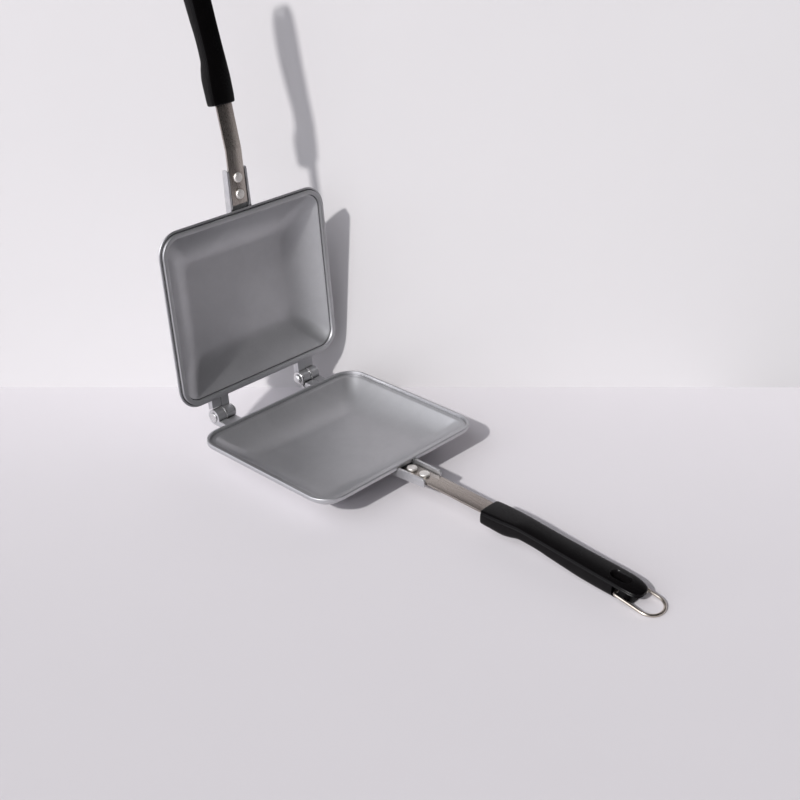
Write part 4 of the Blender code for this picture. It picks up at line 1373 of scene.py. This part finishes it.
@dataclass
class Grip:
    """The moulded grip: a raised top panel over a crease, a waist behind the front, a hanging slot.

    A row of station_shares is a place along the grip, with the shares of half_width, top, bottom and droop
    there. A row of rim_shares is a point on the round edge of the top panel, in shares of the half width and
    the crown. A row of crease_rows is a share of the crease's depth in from the side, a drop below the
    panel's edge, and a share of the crease's width further down. A row of runs is the start, the end and the
    count of evenly spaced sections.
    """

    handle: Handle
    length: float = 0.1164
    half_width: float = 0.009
    top: float = 0.0038
    bottom: float = 0.0092
    droop: float = 0.0048
    crown: float = 0.0009
    crown_share: float = 0.72
    crown_power: float = 2.2
    crown_places: tuple[float, ...] = (0.0, 0.2, 0.4, 0.58, 0.72, 0.83)
    rim_shares: tuple[Pair, ...] = ((0.91, 0.27), (0.965, 0.06))
    lip_share: float = 0.99
    lip_drop: float = 0.00025
    crease_depth: float = 0.0009
    crease_width: float = 0.0012
    crease_most: float = 0.35
    crease_rows: tuple[Point, ...] = (
        (0.35, 0.00042, 0.0), (1.0, 0.00052, 0.0), (1.0, 0.00052, 0.35), (0.25, 0.00035, 1.0),
    )
    foot_share: float = 0.995
    foot_drop: float = 0.0006
    belly_start: float = 0.33
    belly_flat: float = 0.16
    belly_power: float = 2 / 3.6
    belly_steps: int = 10
    slot_length: float = 0.0135
    slot_width: float = 0.007
    slot_end: float = 0.0095
    slot_steps: int = 40
    slot_flare: float = 0.0011
    slot_flare_inside: float = 0.0009
    slot_flare_outside: float = 0.0006
    slot_top: float = 0.93
    slot_bottom: float = 0.86
    slot_droop: float = 0.79
    slot_reach: Pair = (-0.03, 0.02)
    front_round: float = 0.0008
    front_steps: int = 6
    runs: tuple[tuple[float, float, int], ...] = ((0.012, 0.12, 12), (0.125, 0.9, 48), (0.905, 0.985, 16))
    tail_share: float = 0.014
    tail_steps: int = 12
    shade_angle: float = 38.0
    pivot_distance: float = 0.0148
    pivot_drop: float = 0.0067
    wire: float = 0.001
    socket_gap: float = 0.0003
    socket_start: float = 0.004
    socket_sides: int = 28
    recess_length: float = 0.0172
    recess_inner: float = 0.007
    recess_setback: float = 0.0045
    recess_start: float = 0.0032
    recess_fall: float = 0.0024
    cut_past: float = 0.002
    cut_side: float = 0.02
    cut_floor: float = 0.03
    station_shares: tuple[tuple[float, ...], ...] = (
        (0.000, 0.930, 0.68, 0.90, 0.000),
        (0.013, 0.980, 0.71, 0.92, 0.000),
        (0.051, 1.000, 0.76, 0.93, 0.000),
        (0.145, 0.975, 0.86, 1.00, 0.000),
        (0.205, 0.920, 0.92, 0.88, 0.010),
        (0.256, 0.880, 0.98, 0.67, 0.060),
        (0.342, 0.860, 0.96, 0.67, 0.160),
        (0.402, 0.860, 0.94, 0.70, 0.240),
        (0.444, 0.860, 0.93, 0.77, 0.290),
        (0.547, 0.870, 0.91, 0.87, 0.420),
        (0.658, 0.890, 0.90, 0.95, 0.560),
        (0.820, 0.920, 0.94, 0.91, 0.770),
        (0.890, 0.920, 0.92, 0.84, 0.860),
        (0.923, 0.880, 0.85, 0.78, 0.900),
        (0.966, 0.760, 0.70, 0.66, 0.960),
        (0.987, 0.600, 0.58, 0.54, 0.985),
        (0.994, 0.460, 0.52, 0.46, 0.992),
        (0.998, 0.330, 0.46, 0.40, 0.998),
        (1.000, 0.180, 0.40, 0.36, 1.000),
    )

    @staticmethod
    def eased(known: np.ndarray, values: np.ndarray, wanted: np.ndarray) -> np.ndarray:
        """Smooth curve through known values that never overshoots them.

        Args:
            known: increasing places.
            values: the value at each.
            wanted: the places asked for.

        Returns:
            The value at each place asked for.
        """
        steps = np.diff(known)
        slopes = np.diff(values) / steps
        tangents = np.zeros_like(values)
        for i in range(1, len(values) - 1):
            if slopes[i - 1] * slopes[i] > 0:
                tangents[i] = 2 * slopes[i - 1] * slopes[i] / (slopes[i - 1] + slopes[i])
        tangents[0], tangents[-1] = slopes[0], slopes[-1]
        at = np.clip(np.searchsorted(known, wanted, side="right") - 1, 0, len(steps) - 1)
        t = (wanted - known[at]) / steps[at]
        start, end = values[at], values[at + 1]
        first, last = tangents[at] * steps[at], tangents[at + 1] * steps[at]
        return (
            (2 * t**3 - 3 * t**2 + 1) * start + (t**3 - 2 * t**2 + t) * first
            + (3 * t**2 - 2 * t**3) * end + (t**3 - t**2) * last
        )

    def section(self, width: float, top: float, bottom: float) -> list[Pair]:
        """Right half of a section, from the crown's middle to the belly's middle.

        Args:
            width: the section's half width.
            top: height of the crown.
            bottom: depth of the belly.

        Returns:
            X and height of each point.
        """
        edge = top - self.crown
        depth = min(self.crease_depth, width * self.crease_most)
        side = edge - self.foot_drop - self.crease_width
        drop = side + bottom
        points = [(width * u, top - self.crown * self.crown_share * u**self.crown_power) for u in self.crown_places]
        points += [(width * across, edge + self.crown * up) for across, up in self.rim_shares]
        points.append((width * self.lip_share, edge - self.lip_drop))
        points += [
            (width - depth * inward, edge - lower - self.crease_width * down)
            for inward, lower, down in self.crease_rows
        ]
        points += [(width * self.foot_share, side), (width, side - drop * self.belly_flat)]
        for step in range(self.belly_steps + 1):
            angle = math.pi / 2 * step / self.belly_steps
            across = math.cos(angle) ** self.belly_power if step < self.belly_steps else 0.0
            down = self.belly_start + (1 - self.belly_start) * math.sin(angle) ** self.belly_power
            points.append((width * across, side - drop * down))
        return points

    def places(self) -> np.ndarray:
        """Where the sections lie: close together at both ends, even between them.

        Returns:
            Shares of the grip's length.
        """
        quarter = math.pi / 2
        front = self.front_round / self.length * (1 - np.cos(np.linspace(0.0, quarter, self.front_steps)))
        tail = 1 - self.tail_share * np.cos(np.linspace(0.0, quarter, self.tail_steps)) ** 2
        return np.unique(np.concatenate([front, *(np.linspace(*run) for run in self.runs), tail]))

    def body(self) -> Bench:
        """The grip about its front face, lofted along -Y.

        Returns:
            Its bench.
        """
        table, places = np.array(self.station_shares), self.places()
        columns = [self.eased(table[:, 0], table[:, i], places) for i in range(1, 5)]
        rings = []
        for place, width, top, bottom, droop in zip(places, *columns):
            ease = max(0.0, 1 - place * self.length / self.front_round)
            shrink = self.front_round * (1 - math.sqrt(1 - ease * ease))
            sizes = (self.half_width * width, self.top * top, self.bottom * bottom)
            right = self.section(*(size - shrink for size in sizes))
            ring = right + [(-x, z) for x, z in right[-2:0:-1]]
            rings.append([(x, -self.length * place, z - self.droop * droop) for x, z in ring])
        return Bench.lofted(f"{self.handle.half.name}_grip_moulding", rings)

    def stadium(self, name: str, grow: float, low: float, high: float) -> Bench:
        """An oblong plug for cutting the hanging slot, at its place along the grip.

        Args:
            name: the plug's name.
            grow: how much wider it is at its second end.
            low: height of its first end.
            high: height of its second end.

        Returns:
            Its bench.
        """
        radius = self.slot_width / 2
        middle = -(self.length - self.slot_end - self.slot_length / 2)
        straight = self.slot_length / 2 - radius
        rings = []
        for level, reach in ((low, radius), (high, radius + grow)):
            ring = []
            for step in range(self.slot_steps):
                angle = 2 * math.pi * step / self.slot_steps
                shift = straight if math.sin(angle) >= 0 else -straight
                ring.append((reach * math.cos(angle), middle + shift + reach * math.sin(angle), level))
            rings.append(ring)
        return Bench.lofted(name, rings)

    def _cut_slot(self, grip: Bench) -> None:
        """Cuts the hanging slot and eases its rim above and below.

        Args:
            grip: the moulding.
        """
        droop = self.droop * self.slot_droop
        surface, floor = self.top * self.slot_top - droop, -self.bottom * self.slot_bottom - droop
        inside, outside = self.slot_flare_inside, self.slot_flare_outside
        grip.combine(
            "DIFFERENCE", self.stadium("slot", 0.0, *self.slot_reach),
            self.stadium("slot_rim", self.slot_flare, surface - inside, surface + outside),
            self.stadium("slot_under", self.slot_flare, floor + inside, floor - outside),
        )

    def _sloped(self, name: str, low: Point, high: Point, fall: float) -> Bench:
        """A cutter whose roof slopes down towards the grip's end.

        Args:
            name: the cutter's name.
            low: its lowest corner, at the grip's end.
            high: its highest corner.
            fall: how far the roof falls.

        Returns:
            Its bench.
        """
        cutter = Bench.block(name, low, high)
        cutter.pick(Pick.VERT, lambda at, way: at.y < low[1] + NEAR and at.z > high[2] - NEAR)
        return cutter.move((0, 0, -fall))

    def _cut_recess(self, grip: Bench) -> None:
        """Cuts the stepped recess under the grip's end, in which the ring swings.

        Args:
            grip: the moulding.
        """
        start, end = -(self.length - self.recess_length), -(self.length + self.cut_past)
        set_back = -(self.length - self.recess_setback)
        middle = self.recess_start + self.recess_fall * (start - set_back) / (start - end)
        fall = self.recess_start + self.recess_fall - middle
        low, high = (-self.cut_side, end, -self.cut_floor), (self.cut_side, set_back, -middle)
        grip.combine("DIFFERENCE", self._sloped("recess_end", low, high, fall))
        for side in (-1, 1):
            inner, outer = sorted((side * self.recess_inner, side * self.cut_side))
            low, high = (inner, end, -self.cut_floor), (outer, start, -self.recess_start)
            grip.combine("DIFFERENCE", self._sloped("recess_side", low, high, self.recess_fall))
            if not self.handle.half.is_upper:
                pivot = (-(self.length - self.pivot_distance), -self.pivot_drop)
                ends = ((side * self.socket_start, *pivot), (side * self.cut_side, *pivot))
                socket = Bench.rod("socket", self.wire + self.socket_gap, *ends, self.socket_sides)
                grip.combine("DIFFERENCE", socket)

    def build(self, plastic: bpy.types.Material) -> None:
        """Makes and dresses the grip.

        Args:
            plastic: what it is moulded in.
        """
        half = self.handle.half
        grip = self.body()
        self._cut_slot(grip)
        self._cut_recess(grip)
        front_y, front_z = self.handle.grip_front
        tilt = Matrix.Translation((0, front_y, front_z)) @ Matrix.Rotation(self.handle.slope, 4, "X")
        name = f"{half.name}_grip"
        grip.outward().dress(plastic, half.sizes.body, name, (name,), half.matrix @ tilt, self.shade_angle)


# ---- hinge pins and the wire ring


@dataclass
class HingePin:
    """A domed pin, the washer under its dome and the shim between the knuckles, at each hinge station."""

    half: Half
    radius: float = 0.0022
    sides: int = 40
    dome_radius: float = 0.0035
    dome_height: float = 0.0018
    dome_share: float = 0.94
    dome_segments: int = 12
    dome_sides: int = 64
    peen_radius: float = 0.0033
    peen_height: float = 0.0006
    peen_share: float = 0.7
    peen_segments: int = 5
    peen_sides: int = 56
    washer_radius: float = 0.0049
    washer_thickness: float = 0.0008
    shim_radius: float = 0.0058
    shim_thickness: float = 0.0012
    collar_round: float = 0.00014
    touch_gap: float = 0.0003

    def rod(self, name: str, radius: float, start: float, end: float, sides: int) -> Bench:
        """A cylinder on the hinge axis, from one X to another."""
        y, z = self.half.hinge_y, self.half.pan.height + self.half.hinge.rise
        return Bench.rod(name, radius, (start, y, z), (end, y, z), sides)

    def collar(self, name: str, start: float, radius: float, thickness: float) -> Bench:
        """A flat round collar on the pin.

        Args:
            name: the piece's name.
            start: X of its inner face.
            radius: its radius.
            thickness: how thick it is.

        Returns:
            Its bench.
        """
        bench = self.rod(name, radius, start, start + thickness, self.dome_sides)
        hole = self.rod("hole", self.half.hinge.bore, start - thickness, start + 2 * thickness, self.sides)
        return bench.combine("DIFFERENCE", hole).soften(self.collar_round)

    def pin(self, seat: float, outer: float) -> Bench:
        """The pin with its dome inside and its peened end outside.

        Args:
            seat: X of the dome's flat side.
            outer: X of the outer end of the knuckles.

        Returns:
            Its bench.
        """
        peen_start = outer + self.touch_gap
        crest, peen_end = seat - self.dome_height, peen_start + self.peen_height
        pin = self.rod("hinge_dome_right", self.radius, seat, peen_start, self.sides)
        head = self.rod("head", self.dome_radius, crest, seat, self.dome_sides)
        head.pick(Pick.EDGE, lambda at, way: at.x < crest + NEAR)
        head.bevel(self.dome_height * self.dome_share, self.dome_segments)
        peen = self.rod("peen", self.peen_radius, peen_start, peen_end, self.peen_sides)
        peen.pick(Pick.EDGE, lambda at, way: at.x > peen_end - NEAR)
        peen.bevel(self.peen_height * self.peen_share, self.peen_segments)
        return pin.combine("UNION", head, peen)

    def build(self, metal: bpy.types.Material) -> None:
        """Makes both stations' pins, washers and shims.

        Args:
            metal: what they are made of.
        """
        hinge = self.half.hinge
        outer = hinge.station + 2 * hinge.length + hinge.gap
        seat = hinge.station - 2 * self.touch_gap - self.washer_thickness
        shim_start = hinge.station + hinge.length + (hinge.gap - self.shim_thickness) / 2
        pin = self.pin(seat, outer)
        washer = self.collar("hinge_collar_right", seat + self.touch_gap, self.washer_radius, self.washer_thickness)
        shim = self.collar("hinge_shim_right", shim_start, self.shim_radius, self.shim_thickness)
        for right, kind, stands_in in ((pin, "pin", True), (washer, "washer", True), (shim, "washer", False)):
            left = right.mirrored(right.item.name.replace("right", "left"))
            for bench, side in ((right, "right"), (left, "left")):
                node = f"hinge_{kind}_{side}"
                bench.dress(metal, "base", node, (node,) if stands_in else ())


@dataclass
class WireRing:
    """The wire ring in the lower grip, lying on the table."""

    grip: Grip
    half_width: float = 0.0096
    leg: float = 0.0187
    leg_shares: tuple[float, ...] = (0.25, 0.5, 0.75)
    bow: float = 0.009
    bow_steps: int = 24
    bend: float = 0.002
    bend_steps: int = 8
    end_reach: float = 0.005
    squareness: float = 2.1
    bevel_resolution: int = 5

    def path(self) -> list[Pair]:
        """The wire's centre line about its pivot: end, bend, leg, bow and back.

        Returns:
            X and Y of each point.
        """
        half = [(self.half_width - self.end_reach, 0.0)]
        for step in range(self.bend_steps + 1):
            angle = math.pi / 2 * step / self.bend_steps
            half.append((self.half_width - self.bend * (1 - math.sin(angle)), -self.bend * (1 - math.cos(angle))))
        half += [(self.half_width, -self.bend - (self.leg - self.bend) * share) for share in self.leg_shares]
        power = 2 / self.squareness
        for step in range(self.bow_steps + 1):
            angle = math.pi / 2 * step / self.bow_steps
            x = self.half_width * math.cos(angle) ** power if step < self.bow_steps else 0.0
            half.append((x, -(self.leg + self.bow * math.sin(angle) ** power)))
        return half + [(-x, y) for x, y in half[-2::-1]]

    def place(self) -> Matrix:
        """Where the ring hangs in the grip, with its bow on the table.

        Returns:
            The way from the ring's own frame to the row frame.
        """
        grip, handle = self.grip, self.grip.handle
        front_y, front_z = handle.grip_front
        reach, slope = grip.length - grip.pivot_distance, handle.slope
        y = front_y - reach * math.cos(slope) + grip.pivot_drop * math.sin(slope)
        z = handle.half.pan.height + front_z - reach * math.sin(slope) - grip.pivot_drop * math.cos(slope)
        droop = math.asin((z - grip.wire) / (self.leg + self.bow))
        return Matrix.Translation((0, y, z)) @ Matrix.Rotation(droop, 4, "X")

    def build(self, metal: bpy.types.Material) -> None:
        """Makes and dresses the ring as a tube about its path.

        Args:
            metal: what it is drawn from.
        """
        deselect_everything()
        curve = bpy.data.curves.new("hanging_ring", "CURVE")
        curve.dimensions = "3D"
        curve.bevel_depth = self.grip.wire
        curve.bevel_resolution = self.bevel_resolution
        curve.use_fill_caps = True
        points = self.path()
        spline = curve.splines.new("POLY")
        spline.points.add(len(points) - 1)
        for point, (x, along) in zip(spline.points, points):
            point.co = (x, along, 0, 1)
        item = bpy.data.objects.new("hanging_ring", curve)
        bpy.context.scene.collection.objects.link(item)
        item.select_set(True)
        bpy.context.view_layer.objects.active = item
        bpy.ops.object.convert(target="MESH")
        bench = Bench(bpy.context.object, "hanging_ring").outward()
        bench.dress(metal, "ring", "wire_ring", ("wire_ring",), self.place())


# ---- table, wall, lamps and camera


@dataclass
class Studio:
    """The pale table and wall, the light and the camera at the photograph's viewing angle.

    The reaches are how far the pale sheet goes, by table_way on the table and upwards on the wall. Only what
    reflects it, or is lit by it, sees where it ends.
    """

    eye: Point = (-0.5566, -0.5731, 0.4682)
    pitch_deg: float = 62.01
    heading_deg: float = -47.11
    focal_px: float = 1349.0
    frame_px: float = 800.0
    sensor_mm: float = 36.0
    clip_end: float = 20.0
    table_size: float = 12.0
    table_tone: Point = (0.698, 0.672, 0.698)
    table_way: Point = (0.69, -0.72, 0.0)
    table_reach: float = 0.25
    wall_width: float = 6.0
    wall_height: float = 3.0
    wall_tone: Point = (0.578, 0.563, 0.575)
    wall_offset: float = 0.1036
    wall_lean_deg: float = 15.5
    wall_reach: float = 0.25
    reach_fade: float = 1.35
    end_share: float = 0.95
    end_tone: Point = (0.03, 0.03, 0.032)
    sheet_roughness: float = 0.85
    sheet_specular: float = 0.2
    sheet_shade: float = 0.97
    cloud_scale: float = 9.0
    cloud_detail: float = 5.0
    tooth_scale: float = 1600.0
    tooth_detail: float = 3.0
    tooth_strength: float = 0.15
    tooth_height: float = 0.0002
    sun_tone: Point = (1.0, 0.985, 0.97)
    sun_way: Point = (1.41, 0.25, -1.0)
    sun_strength: float = 2.7
    sun_softness_deg: float = 2.4
    sky_tone: Point = (0.975, 0.985, 1.04)
    sky_way: Point = (-0.9, 0.15, 0.4)
    sky_edge: float = 0.52
    sky_dim: float = 0.05
    sky_bright: float = 2.15
    backdrop_tone: Point = (0.82, 0.81, 0.825)

    def sheet(self, name: str, colour: Point, way: Point, reach: float, see_through: bool) -> bpy.types.Material:
        """The matt pale sheet of the table or the wall.

        Args:
            name: the material's name.
            colour: its colour.
            way: the direction in which the sheet ends.
            reach: how far it goes that way.
            see_through: whether it's clear from behind.

        Returns:
            The material.
        """
        material = bpy.data.materials.new(name)
        material.use_nodes = True
        graph = Graph(material.node_tree)
        shader = material.node_tree.nodes["Principled BSDF"]
        place = graph.add("TexCoord").outputs["Object"]
        darker = tuple(channel * self.sheet_shade for channel in colour)
        tone = graph.mixed(graph.noise(place, self.cloud_scale, self.cloud_detail), colour, darker)
        away = graph.add("VectorMath", {0: place, 1: way}, operation="DOT_PRODUCT").outputs["Value"]
        unseen = graph.maths("SUBTRACT", 1.0, graph.add("LightPath").outputs["Is Camera Ray"])
        far = graph.between(away, (reach, reach * self.reach_fade), (0.0, self.end_share))
        tone = graph.mixed(graph.maths("MULTIPLY", far, unseen), tone, self.end_tone)
        fine = graph.noise(place, self.tooth_scale, self.tooth_detail)
        bump = graph.add("Bump", {"Strength": self.tooth_strength, "Distance": self.tooth_height, "Height": fine})
        constants = {"Roughness": self.sheet_roughness, "Specular IOR Level": self.sheet_specular}
        graph.feed(shader, {**constants, "Base Color": tone, "Normal": bump.outputs["Normal"]})
        if see_through:
            facing = graph.add("NewGeometry").outputs["Backfacing"]
            clear = graph.add("BsdfTransparent").outputs[0]
            mix = graph.add("MixShader", {0: facing, 1: shader.outputs[0], 2: clear})
            graph.link(mix.outputs[0], material.node_tree.nodes["Material Output"].inputs["Surface"])
        return material

    def stage(self) -> None:
        """Adds the table and the wall behind it, which leans back from its foot."""
        deselect_everything()
        bpy.ops.mesh.primitive_plane_add(size=self.table_size)
        table = bpy.context.object
        table.name = "table_top"
        table.data.materials.append(
            self.sheet("matt_table", self.table_tone, self.table_way, self.table_reach, False)
        )
        deselect_everything()
        bpy.ops.mesh.primitive_plane_add(size=1.0)
        wall = bpy.context.object
        wall.name = "back_wall"
        heading, lean = math.radians(-self.heading_deg), math.radians(self.wall_lean_deg)
        forward = Vector((math.sin(heading), math.cos(heading), 0))
        across = Vector((forward.y, -forward.x, 0))
        up = forward * math.sin(lean) + Vector((0, 0, math.cos(lean)))
        basis = Matrix((across, up, across.cross(up))).transposed().to_4x4()
        place = Matrix.Translation(forward * self.wall_offset + up * self.wall_height / 2)
        wall.data.transform(place @ basis @ Matrix.Diagonal((self.wall_width, self.wall_height, 1, 1)))
        wall.data.materials.append(self.sheet("matt_wall", self.wall_tone, (0, 0, 1), self.wall_reach, True))

    def light(self) -> None:
        """Adds one soft key from the left, and a plain sky that is brighter on the left."""
        lamp = bpy.data.lights.new("key_light", "SUN")
        lamp.energy = self.sun_strength
        lamp.angle = math.radians(self.sun_softness_deg)
        lamp.color = self.sun_tone
        item = bpy.data.objects.new("key_light", lamp)
        item.rotation_euler = Vector(self.sun_way).to_track_quat("-Z", "Y").to_euler()
        bpy.context.scene.collection.objects.link(item)
        world = bpy.data.worlds.new("soft_sky")
        bpy.context.scene.world = world
        world.use_nodes = True
        graph = Graph(world.node_tree)
        way = graph.add("TexCoord").outputs["Generated"]
        towards = graph.add("VectorMath", {0: way, 1: self.sky_way}, operation="DOT_PRODUCT").outputs["Value"]
        lift = graph.between(towards, (self.sky_edge, 1.0), (self.sky_dim, self.sky_bright))
        grey = graph.add("CombineColor", {0: lift, 1: lift, 2: lift}).outputs[0]
        sky = graph.mixed(1.0, self.sky_tone, grey, "MULTIPLY")
        seen = graph.add("LightPath").outputs["Is Camera Ray"]
        graph.feed(world.node_tree.nodes["Background"], {"Color": graph.mixed(seen, sky, self.backdrop_tone)})

    def camera(self) -> None:
        """Adds the camera at the photograph's place."""
        data = bpy.data.cameras.new("photo_camera")
        data.sensor_width = self.sensor_mm
        data.lens = self.focal_px * self.sensor_mm / self.frame_px
        data.clip_end = self.clip_end
        item = bpy.data.objects.new("photo_camera", data)
        item.location = self.eye
        item.rotation_euler = (math.radians(self.pitch_deg), 0, math.radians(self.heading_deg))
        bpy.context.scene.collection.objects.link(item)
        bpy.context.scene.camera = item

    def build(self) -> None:
        """Sets the whole stage."""
        self.stage()
        self.light()
        self.camera()
        bpy.context.scene.view_settings.view_transform = "Standard"


def main() -> None:
    """Builds the studio and every piece."""
    Studio().build()
    effects, finishes = Effects(), Finishes()
    cast = finishes.cast.make(effects)
    steel = finishes.strip.make(effects)
    rivet_metal = finishes.rivet.make(effects)
    plastic = finishes.plastic.make(effects)
    lower, upper = Half(LOWER_SIZES), Half(UPPER_SIZES)
    for half in (lower, upper):
        handle = Handle(half)
        Pan(half).build(cast)
        handle.build(steel, rivet_metal)
        Grip(handle).build(plastic)
    HingePin(lower).build(finishes.pin.make(effects))
    WireRing(Grip(Handle(lower))).build(finishes.wire.make(effects))
    deselect_everything()


if __name__ == "__main__":
    main()
